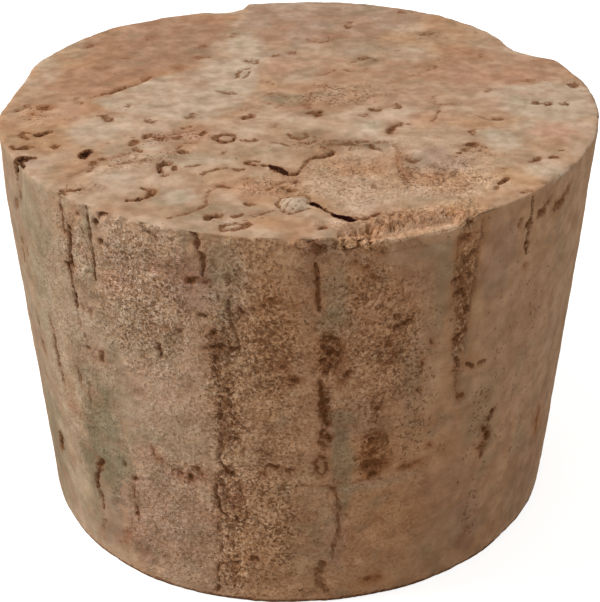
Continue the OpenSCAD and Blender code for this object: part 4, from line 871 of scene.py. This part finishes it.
def markedSkin(bm):
    # the mesh as it stands, with every mark cut and painted; rough is how ragged the edges are
    bm.normal_update()
    skin = Surface(np.array([v.co for v in bm.verts]), np.array([v.normal for v in bm.verts]))
    for face, rough, pits in (("top", 0.75, topPits), ("bottom", 0.6, bottomPits),
                              ("wall", 1.0, wallPits + backPits)):
        for row in pits:
            skin.pit(face, rough, *row)
    for face, rough, cracks in (("top", 0.7, topCracks), ("wall", 1.1, wallCracks + backCracks)):
        for width, depth, dark, rust, path in cracks:
            skin.cut(face, path, width, depth, dark, rust, rough)
    for row in topZones:
        skin.zone(*row)
    for face, patches in (("top", topPatches), ("wall", wallPatches)):
        for kind, rows in patches.items():
            for row in rows:
                skin.patch(face, kind, *row)
    return skin


def refine(bm, wanted):
    # cuts every face that has a wanted point into four
    bm.verts.index_update()
    edges = {e for f in bm.faces if any(wanted[v.index] for v in f.verts) for e in f.edges}
    bmesh.ops.subdivide_edges(bm, edges=list(edges), cuts=1, use_grid_fill=True)


def chippedShare(bearing, z):
    # how much of the wall's radius is left where the chips break in
    full = wallRadius(z)
    left = full.copy()
    for at, hollow, depth, drop in rimChips:
        turn = np.radians((bearing - at + 180) % 360 - 180)
        # the hollow's axis leans out downwards, so the cut dies out below the rim
        lean = math.atan(depth / drop) - math.atan((topRadius - bottomRadius) / topZ)
        face = topRadius - depth + np.tan(lean) * (topZ - z)
        middle = face + hollow
        reach = hollow ** 2 - (middle * np.sin(turn)) ** 2
        hit = middle * np.cos(turn) - np.sqrt(np.maximum(reach, 0))
        hit = np.where((reach > 0) & (np.abs(turn) < 1.2) & (hit > 0), hit, full + 9)
        # the edges between hollows are worn round
        blend = 0.45 if hollow > 30 else 1.1
        apart = np.clip(0.5 + 0.5 * (left - hit) / blend, 0, 1)
        left = left * (1 - apart) + hit * apart - blend * apart * (1 - apart) * 0.5
    return left / full


def barkLens(skin):
    # how far the ridged lens of bark stands proud, with its grooves painted dark
    lens = stopper["lens"]
    turn = math.radians(lens["turn"])
    dx = skin.places[:, 0] - lens["x"] + 0.25 * skin.slide
    dy = skin.places[:, 1] - lens["y"] + 0.25 * skin.climb
    u = (dx * math.cos(turn) + dy * math.sin(turn)) / (lens["length"] / 2)
    v = (dy * math.cos(turn) - dx * math.sin(turn)) / (lens["width"] / 2)
    inside = smooth(0.0, 0.35, 1 - np.hypot(u, v)) * skin.up
    wave = np.cos(2 * math.pi * (v * lens["width"] / 2 + 0.25 * u * u) / lens["pitch"])
    skin.paint["dark"] = np.maximum(skin.paint["dark"], 0.42 * inside * smooth(0.10, 1.0, -wave))
    skin.paint["dark"] *= 1 - 0.8 * inside * smooth(-0.6, 0.4, wave)
    return inside * (lens["rise"] * (1 - np.hypot(u, v)) + lens["ridge"] * wave)


def outOfRound(skin):
    # how much wider or narrower the wall is than a true taper
    full = np.ones(len(skin.places))
    share = np.clip(skin.radius / wallRadius(skin.places[:, 2]), 0, 1) ** 2
    for at, half, swell, none, whole in stopper["swells"]:
        turn = (skin.bearing - at + 180) % 360 - 180
        fade = 1 - smooth(whole, none, skin.places[:, 2])
        full += swell / topRadius * np.exp(-(turn / half) ** 2) * fade * share
    return full


def rimNick(skin):
    # depth of the small nicks along the rims, fewer behind and hardly any at the foot
    z = skin.places[:, 2]
    fromWall = topRadius - skin.radius - (topRadius - bottomRadius) * (1 - z / topZ)
    nearRim = np.exp(-(fromWall / 0.5) ** 2) * np.exp(-(np.minimum(z, topZ - z) / 0.5) ** 2)
    nick = stopper["rimNicks"] * nearRim * smooth(0.05, 0.7, skin.swell + 0.5 * skin.ragged)
    nick *= 0.15 + 0.85 * (1 - smooth(50, 75, np.abs(skin.bearing)))
    return nick * np.where(z > topZ / 2, 1.0, 0.15)


def shapeSkin(skin):
    # where every point ends up, in mm, with crumbs, clods and shade painted on the way
    x, y, z = skin.places.T
    left = chippedShare(skin.bearing, np.clip(z, 0, topZ))
    edge = skin.radius / wallRadius(z)
    bite = 1 - (1 - left) * np.where(edge > 0.5, smooth(0.80, 1.0, edge), 0)
    torn = insideOutline(x + 0.8 * skin.slide, y + 0.8 * skin.climb, tornLayer)
    torn = smooth(-0.15, 0.25, torn) * skin.up
    broken = insideOutline(x + 0.9 * skin.slide, y + 0.9 * skin.climb, brokenRim)
    broken = smooth(-0.2, 0.5, broken) * smooth(topZ - 1.6, topZ - 0.4, z)
    skin.paint["crumb"] = np.maximum(skin.paint["crumb"], 0.9 * broken)
    crumb = skin.paint["crumb"]
    lumps = shake(skin.places, 5.0, 5, 3)
    grain = shake(skin.places, 0.55, 6, 2)
    knobs = shake(skin.places, stopper["crumbSize"], 7)
    coarse, fine = np.abs(knobs), np.abs(shake(skin.places, stopper["crumbSize"] * 0.5, 8))
    clods = shake(skin.places, 1.5, 9)
    stretched = skin.places * np.array([0.15, 0.15, 1.0])
    rings = shake(stretched, 0.6, 10, 2) * skin.wall
    grains = 0.70 * smooth(0.0, 0.38, coarse) + 0.30 * smooth(0.0, 0.38, fine)
    grains += (0.60 + 0.55 * knobs - grains) * (0.35 + 0.45 * skin.up)
    out = (stopper["lumps"] * lumps + stopper["grain"] * grain * (1 + crumb) + stopper["rings"] * rings
           + stopper["crumb"] * crumb * (grains - 0.60) + 0.10 * crumb * clods)
    out -= skin.depth * (1 + 0.25 * grain) + stopper["tornDepth"] * torn
    # a plain pale ledge along the right half of the broken rim
    ledge = smooth(12, 16, skin.bearing) * (1 - smooth(27.5, 29.5, skin.bearing))
    ledge = ledge * smooth(topZ - 2.4, topZ - 0.3, z)
    ledge = ledge * smooth(25.5, 26.3, skin.radius + 0.3 * skin.slide)
    broken = broken * (1 - ledge)
    loose = insideOutline(x + 0.9 * skin.slide, y + 0.9 * skin.climb, looseGrains)
    loose = smooth(-0.3, 0.7, loose) * skin.up
    loose = np.maximum(broken, 0.6 * loose * (1 - ledge))
    out += barkLens(skin)
    # the broken step is a heap of clods with dark gaps between them: painted shade in the gaps,
    # and pale paint on the clod tops that is partly a painted highlight
    lumpy = np.abs(shake(skin.places, stopper["clodSize"], 14))
    clod = smooth(0.01, 0.14, lumpy)
    out += loose * (0.28 * clod + 0.14 * smooth(0.1, 0.5, lumpy) - 0.24)
    skin.paint["dark"] = np.maximum(skin.paint["dark"], 0.74 * loose * (1 - smooth(0.02, 0.13, lumpy)))
    skin.paint["rust"] = np.maximum(skin.paint["rust"], 0.9 * loose * (1 - smooth(0.05, 0.22, lumpy)))
    skin.paint["pale"] = np.maximum(skin.paint["pale"], 0.6 * broken * smooth(0.12, 0.26, lumpy))
    skin.paint["warm"] = np.maximum(skin.paint["warm"], 0.8 * loose)
    # only the lip of the ledge is pale, a painted highlight where it catches the light, and the band below
    # it is a little warmer than the wall; the chalk on the clod tops is partly a painted highlight too
    lip = ledge * np.maximum(skin.up, smooth(topZ - 0.55, topZ - 0.2, z))
    chalkyAndLit = (0.2 * broken + 0.45 * loose) * smooth(0.10, 0.24, lumpy) + 0.7 * lip
    skin.paint["chalkAndHighlight"] = np.maximum(skin.paint["chalkAndHighlight"], chalkyAndLit)
    for kind, low, high in (("pale", 0.35, 0.8), ("warm", 0.4, 0.2), ("crumb", 0.10, 0.45),
                            ("dark", 0.0, 0.0)):
        skin.paint[kind] = skin.paint[kind] * (1 - ledge) + low * (ledge - lip) + high * lip
    moved = skin.places + skin.normals * out[:, None]
    drop = stopper["brokenDepth"] * broken * (0.85 + 0.8 * shake(skin.places, 1.2, 13) + 0.3 * skin.ragged)
    nick = rimNick(skin)
    moved[:, 2] -= drop + stopper["ledgeDrop"] * ledge + np.where(z > topZ / 2, nick, 0)
    moved[:, :2] *= (bite * outOfRound(skin) * (1 - nick / 30))[:, None]
    under = skin.places[:, 2] < 1.0
    moved[:, 2] = np.where(under, np.maximum(moved[:, 2], 0.0), moved[:, 2])
    # painted shade in the gaps between grains, and a painted contact shadow along the foot of the wall
    gaps = crumb * (1 - smooth(0.02, 0.10, coarse)) * (0.20 - 0.12 * skin.up)
    gaps += 0.35 * smooth(0.85, 1.0, crumb) * skin.wall * (1 - smooth(0.03, 0.13, coarse))
    # the wall darkens towards its foot: a painted contact shadow where it stands on the floor
    footShadow = 0.66 * (1 - skin.down) * (1 - smooth(0.15, 0.62, z + 0.1 * skin.swell))
    skin.paint["dark"] = np.maximum(skin.paint["dark"], np.maximum(gaps, footShadow))
    return moved


def makeCork():
    bm = makeBlank()
    print("blank:", len(bm.faces), "faces")
    skin = markedSkin(bm)
    front = (np.abs(skin.bearing) < stopper["frontReach"]) & (skin.wall > 0.5)
    top = (skin.up > 0.5) & (skin.places[:, 1] < stopper["topReach"])
    outline = (skin.radius > topRadius - stopper["rimBand"]) & (skin.places[:, 2] > topZ - 0.5)
    refine(bm, front | top | outline | (skin.near < stopper["nearMark"]))
    skin = markedSkin(bm)
    step = insideOutline(skin.places[:, 0], skin.places[:, 1], brokenRim) > -0.4
    step &= skin.places[:, 2] > topZ - 2
    refine(bm, step | ((skin.near < stopper["atMark"]) & (np.abs(skin.bearing) < stopper["markReach"])))
    for reach in stopper["atCore"]:
        refine(bm, markedSkin(bm).core < reach)
    print("finer squares round the marks:", len(bm.faces), "faces")
    skin = markedSkin(bm)
    moved = shapeSkin(skin)
    mesh = bpy.data.meshes.new("cork_stopper")
    bm.to_mesh(mesh)
    bm.free()
    mesh.vertices.foreach_set("co", (moved * mm).astype(np.float32).ravel())
    mesh.polygons.foreach_set("use_smooth", np.ones(len(mesh.polygons), bool))
    for kind in colourKinds:
        layer = mesh.attributes.new(kind, "FLOAT", "POINT")
        layer.data.foreach_set("value", skin.paint[kind].astype(np.float32))
    mesh.update()
    piece = bpy.data.objects.new("cork_stopper", mesh)
    bpy.context.scene.collection.objects.link(piece)
    print("triangles:", sum(len(p.vertices) - 2 for p in mesh.polygons))
    return piece


corkLook = dict(
    pale="#ccb096",       # clean cut cork
    ash="#c9b9a2",        # greyer, chalky cork
    mid="#bd9572",
    deep="#ad7f60",       # pinker wood between growth rings
    wall="#c69a75",       # cut across the rings
    olive="#8c8065",      # grey-green streaks of bark
    pink="#c8967a",
    mauve="#99796c",
    warm="#bb8455",       # orange-brown crumbled cork
    rust="#99582f",       # tannin round the pits
    brown="#784a27",      # shallow pores
    dark="#361a0b",       # floors of pits and cracks
    black="#240400",      # painted shadow inside the deepest cracks
    roughness=0.92,       # raw cork has no gloss
    specular=0.10,
    domeCentre=(6.0, -36.0, 0.0),         # mm, the growth rings are domed round this
    domeSlope=0.30,
    ringWander=5.0,       # mm, how far the rings stray
    bendSize=9.0,         # mm, the size of their bends
    gritRelief=0.005,     # mm
    poreRelief=-0.10,     # mm
    veinReach=0.12,       # how far from its middle line a vein still dips
    crumbledTint=(1.34, 1.31, 1.24, 1),   # crumbled cork is lighter
    chalkAndHighlightTint=(1.34, 1.32, 1.28, 1),      # and chalky cork too, and the painted highlights on clods, grains and the ledge's lip
    mostRings=0.50,       # the most of the ring colour that shows
    mostWall=0.85,
    # the same for each painted colour
    painted=dict(deep=0.75, pale=0.70, ash=0.60, pink=0.55, warm=0.55, mauve=0.50, olive=0.80, rust=0.45),
)

# Patterns are noise: size in mm, detail, roughness.
corkPatterns = dict(
    drifts=(7.0, 3, 0.55),
    redMottle=(3.2, 2, 0.5),
    greenMottle=(2.6, 2, 0.5),
    rings=(2.2, 3, 0.6),          # across the growth rings
    blotches=(2.0, 2, 0.5),
    crowding=(1.9, 3, 0.55),      # where pores crowd together
    pinkMottle=(1.5, 2, 0.5),
    freckles=(0.80, 2, 0.5),
    knobs=(0.62, 2, 0.5),
    veins=(0.46, 2, 0.6),
    fineRings=(0.40, 3, 0.7),
    nubs=(0.36, 2, 0.5),
    specks=(0.34, 2, 0.6),
    drag=(0.32, 2, 0.6),          # level drag marks of the blade
    grain=(0.30, 2, 0.6),
    pocks=(0.29, 2, 0.5),
    grit=(0.17, 2, 0.6),
)

# Where each pattern starts to show, where it is full, and the most that shows.
corkMasks = dict(
    drifts=(0.32, 0.68, 1.0),
    rings=(0.45, 0.70, 1.0),
    redMottle=(0.46, 0.70, 0.32),
    greenMottle=(0.52, 0.74, 0.34),
    pinkMottle=(0.54, 0.76, 0.25),
    blotches=(0.30, 0.70, 1.0),
    freckles=(0.34, 0.66, 1.0),
    grain=(0.30, 0.70, 1.0),
    veins=(0.0, 0.06, 1.0),
    nubs=(0.30, 0.66, 1.0),
    knobs=(0.32, 0.68, 1.0),
    lines=(0.35, 0.65, 1.0),
    pocks=(0.44, 0.34, 1.0),      # backwards, full where the noise is low
    pores=(0.89, 1.00, 1.0),
    shallow=(0.10, 0.56, 0.84),   # brown of shallow marks
    floors=(0.62, 0.92, 0.95),    # nearly black hearts of marks
    black=(0.93, 0.99, 1.0),      # the blackest cracks, painted shadow in their crevices
)

# What each pattern multiplies the colour by, outside it and inside it; the darker of the two
# is always the warmer one.
# the grain, veins, nubs and knobs are lighter on raised grains and darker in the hollows of their own bump
# relief: partly painted highlight and painted shade
corkTints = dict(
    blotches=((1.08, 1.09, 1.10), (0.85, 0.82, 0.79)),
    freckles=((1.06, 1.07, 1.08), (0.84, 0.80, 0.76)),
    grain=((0.66, 0.54, 0.40), (1.27, 1.39, 1.58)),
    veins=((0.56, 0.43, 0.31), (1.10, 1.12, 1.15)),
    nubs=((0.60, 0.46, 0.32), (1.30, 1.43, 1.62)),
    knobs=((0.72, 0.62, 0.52), (1.20, 1.28, 1.40)),
    lines=((0.90, 0.88, 0.85), (1.06, 1.07, 1.08)),
)

# How strong each effect is: its rise from the top to the wall, and its start on the top.
fromTopToWall = dict(
    plain=(0.02, 0.05),           # how crumbled the plain cork is
    inMarks=(0.60, 0.15),         # and how crumbled pits and cracks are
    coarse=(0.45, 0.50),
    freckles=(-0.3, 0.75),
    lines=(0.18, 0.03),
    pores=(0.14, 0.46),
    dragRelief=(0.03, 0.0),
)
# The same from smooth to crumbled cork, first for the colour and then for the relief in mm.
fromSmoothToCrumbled = dict(
    grain=(0.55, 0.02),
    veins=(0.80, 0.0),
    nubs=(0.55, 0.0),
    knobs=(0.20, 0.0),
    pocks=(0.55, 0.0),
    grainRelief=(0.22, 0.008),
    nubRelief=(0.48, 0.0),
    knobRelief=(0.26, 0.0),
    pockRelief=(-0.12, 0.0),
    veinRelief=(0.40, 0.0),
)


def naturalCork():
    # raw natural cork, cut and sanded: matt, pale tan, streaked by growth rings, with
    # brown pores; sizes are in millimetres because the coordinates are multiplied to mm
    material = bpy.data.materials.new("naturalCork")
    tree = emptyTree(material)
    colour = {name: linear(value) for name, value in corkLook.items() if isinstance(value, str)}

    own = addNode(tree, "ShaderNodeTexCoord", out="Object")
    place = addNode(tree, "ShaderNodeMapping", {"Vector": own, "Scale": (1 / mm,) * 3})
    level = addNode(tree, "ShaderNodeMapping", {"Vector": own, "Scale": (0.30 / mm, 0.30 / mm, 1 / mm)})
    painted = {}
    for kind in colourKinds:
        painted[kind] = addNode(tree, "ShaderNodeAttribute", out="Fac", attribute_name=kind)

    # growth rings are nearly level sheets, a little domed, so they cross the wall as level
    # lines and the top as slow arcs
    height = addNode(tree, "ShaderNodeSeparateXYZ", {"Vector": place}, out="Z")
    domed = addNode(tree, "ShaderNodeVectorMath", {0: place, 1: corkLook["domeCentre"]}, out="Value",
                    operation="DISTANCE")
    sheet = addNode(tree, "ShaderNodeMath", {0: domed, 1: corkLook["domeSlope"], 2: height},
                    operation="MULTIPLY_ADD")
    stray = addNode(tree, "ShaderNodeTexNoise",
                    {"Vector": place, "Scale": 1 / corkLook["bendSize"], "Detail": 3, "Roughness": 0.55},
                    out="Fac")
    bent = addNode(tree, "ShaderNodeMath", {0: stray, 1: corkLook["ringWander"], 2: sheet},
                   operation="MULTIPLY_ADD")
    across = addNode(tree, "ShaderNodeCombineXYZ", {"Z": bent}, out="Vector")
    acrossFine = addNode(tree, "ShaderNodeCombineXYZ", {"Z": sheet}, out="Vector")

    sources = dict(rings=across, fineRings=acrossFine, drag=level)
    pattern = {}
    for name, (size, detail, rough) in corkPatterns.items():
        pattern[name] = addNode(tree, "ShaderNodeTexNoise",
                                {"Vector": sources.get(name, place), "Scale": 1 / size, "Detail": detail,
                                 "Roughness": rough}, out="Fac")

    # 1 on the wall and the underside, 0 on the top; coarse is how crumbled the cork looks,
    # about half as much on the top as on the wall
    normal = addNode(tree, "ShaderNodeNewGeometry", out="Normal")
    up = addNode(tree, "ShaderNodeSeparateXYZ", {"Vector": normal}, out="Z")
    wallShare = addNode(tree, "ShaderNodeMapRange",
                        {"Value": up, "From Min": 0.30, "From Max": 0.65, "To Min": 1.0, "To Max": 0.0},
                        interpolation_type="SMOOTHSTEP")
    share = {}
    for name, (rise, start) in fromTopToWall.items():
        share[name] = addNode(tree, "ShaderNodeMath", {0: wallShare, 1: rise, 2: start},
                              operation="MULTIPLY_ADD")
    rough = addNode(tree, "ShaderNodeMath", {0: painted["crumb"], 1: share["plain"]}, operation="MAXIMUM")
    inMarks = addNode(tree, "ShaderNodeMath", {0: painted["dark"], 1: share["inMarks"]},
                      operation="MULTIPLY")
    rough = addNode(tree, "ShaderNodeMath", {0: rough, 1: inMarks}, operation="MAXIMUM")
    coarse = addNode(tree, "ShaderNodeMath", {0: rough, 1: share["coarse"]}, operation="MULTIPLY")
    for name, (rise, start) in fromSmoothToCrumbled.items():
        share[name] = addNode(tree, "ShaderNodeMath", {0: coarse, 1: rise, 2: start},
                              operation="MULTIPLY_ADD")

    # level lines, where the fine rings meet the drag marks of the blade
    halfRings = addNode(tree, "ShaderNodeMath", {0: pattern["fineRings"], 1: 0.5}, operation="MULTIPLY")
    lines = addNode(tree, "ShaderNodeMath", {0: pattern["drag"], 1: 0.5, 2: halfRings},
                    operation="MULTIPLY_ADD")
    # veins, thin lines where a noise passes its middle
    offMiddle = addNode(tree, "ShaderNodeMath", {0: pattern["veins"], 1: 0.5}, operation="SUBTRACT")
    curl = addNode(tree, "ShaderNodeMath", {0: offMiddle}, operation="ABSOLUTE")
    veinFloor = addNode(tree, "ShaderNodeMath", {0: curl, 1: corkLook["veinReach"]}, operation="MINIMUM")
    # pores, thicker where the cork is crumbled
    pores = pattern["specks"]
    for what, times in ((pattern["crowding"], 0.35), (rough, 0.14), (painted["fleck"], 0.21)):
        pores = addNode(tree, "ShaderNodeMath", {0: what, 1: times, 2: pores}, operation="MULTIPLY_ADD")
    # the shade in pits and cracks, broken up by the grain where it is neither full nor faint
    swing = 0.0
    for what, times in ((pattern["grain"], 2.4), (pattern["nubs"], 3.6)):
        offMiddle = addNode(tree, "ShaderNodeMath", {0: what, 1: 0.5}, operation="SUBTRACT")
        swing = addNode(tree, "ShaderNodeMath", {0: offMiddle, 1: times, 2: swing},
                        operation="MULTIPLY_ADD")
    loosened = addNode(tree, "ShaderNodeMath", {0: painted["dark"], 1: -0.75, 2: 1.0},
                       operation="MULTIPLY_ADD")
    keep = addNode(tree, "ShaderNodeMath", {0: painted["dark"], 1: loosened}, operation="MULTIPLY")
    worn = addNode(tree, "ShaderNodeMath", {0: keep, 1: swing, 2: painted["dark"]},
                   operation="MULTIPLY_ADD")

    fields = dict(lines=lines, veins=curl, pores=pores, shallow=worn, floors=worn, black=painted["dark"])
    mask = {}
    for name, (start, full, most) in corkMasks.items():
        mask[name] = addNode(tree, "ShaderNodeMapRange",
                             {"Value": fields.get(name) or pattern[name],
                              "From Min": start, "From Max": full, "To Max": most},
                             interpolation_type="SMOOTHSTEP")
    tint = {}
    for name, (low, high) in corkTints.items():
        tint[name] = addNode(tree, "ShaderNodeMix", {0: mask[name], 6: (*low, 1), 7: (*high, 1)}, out=2,
                             data_type="RGBA")
    parts = dict(
        rings=(mask["rings"], corkLook["mostRings"]),
        wall=(wallShare, corkLook["mostWall"]),
        pocks=(mask["pocks"], share["pocks"]),
        pores=(mask["pores"], share["pores"]),
    )
    parts.update((kind, (painted[kind], most)) for kind, most in corkLook["painted"].items())
    part = {}
    for name, (what, most) in parts.items():
        part[name] = addNode(tree, "ShaderNodeMath", {0: what, 1: most}, operation="MULTIPLY")

    # the layers from the first to the last: how much shows, the colour, how it is laid on
    layers = [
        (mask["drifts"], colour["pale"], "MIX"),
        (part["rings"], colour["deep"], "MIX"),
        (part["wall"], colour["wall"], "MIX"),
    ]
    for kind in ("deep", "pale", "ash", "pink", "warm", "mauve", "olive"):
        layers.append((part[kind], colour[kind], "MIX"))
    layers += [
        (mask["redMottle"], colour["deep"], "MIX"),
        (mask["greenMottle"], colour["olive"], "MIX"),
        (mask["pinkMottle"], colour["pink"], "MIX"),
        (1.0, tint["blotches"], "MULTIPLY"),
        (share["freckles"], tint["freckles"], "MULTIPLY"),
        (coarse, corkLook["crumbledTint"], "MULTIPLY"),
        # chalk lightens the colour: chalky cork and painted highlights
        (painted["chalkAndHighlight"], corkLook["chalkAndHighlightTint"], "MULTIPLY"),
        # grain, veins, nubs and knobs: lighter on raised grains, darker in hollows, partly painted highlight
        # and painted shade
        (share["grain"], tint["grain"], "MULTIPLY"),
        (share["veins"], tint["veins"], "MULTIPLY"),
        (share["nubs"], tint["nubs"], "MULTIPLY"),
        (share["knobs"], tint["knobs"], "MULTIPLY"),
        (part["pocks"], colour["brown"], "MIX"),
        (share["lines"], tint["lines"], "MULTIPLY"),
        (part["pores"], colour["brown"], "MIX"),
        (part["rust"], colour["rust"], "MIX"),
        (mask["shallow"], colour["brown"], "MIX"),
        (mask["floors"], colour["dark"], "MIX"),
        (mask["black"], colour["black"], "MIX"),
    ]
    tone = colour["mid"]
    for amount, shade, way in layers:
        tone = addNode(tree, "ShaderNodeMix", {0: amount, 6: tone, 7: shade}, out=2, data_type="RGBA",
                       blend_type=way)

    # surface finish: fine grain, crumbs and rings too small for the mesh, in mm
    heights = [
        (pattern["grit"], corkLook["gritRelief"]),
        (pattern["grain"], share["grainRelief"]),
        (pattern["nubs"], share["nubRelief"]),
        (pattern["knobs"], share["knobRelief"]),
        (mask["pocks"], share["pockRelief"]),
        (pattern["drag"], share["dragRelief"]),
        (veinFloor, share["veinRelief"]),
        (mask["pores"], corkLook["poreRelief"]),
    ]
    relief = 0.0
    for what, rise in heights:
        relief = addNode(tree, "ShaderNodeMath", {0: what, 1: rise, 2: relief}, operation="MULTIPLY_ADD")
    bump = addNode(tree, "ShaderNodeBump", {"Height": relief, "Distance": mm, "Strength": 1.0}, out="Normal")
    surface = addNode(tree, "ShaderNodeBsdfPrincipled",
                      {"Base Color": tone, "Roughness": corkLook["roughness"], "Normal": bump,
                       "Specular IOR Level": corkLook["specular"]})
    addNode(tree, "ShaderNodeOutputMaterial", {"Surface": surface})
    return material


print("cutting the cork")
cork = makeCork()
print("natural cork finish")
cork.data.materials.append(naturalCork())
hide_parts("stopper")
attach(cork, "root")
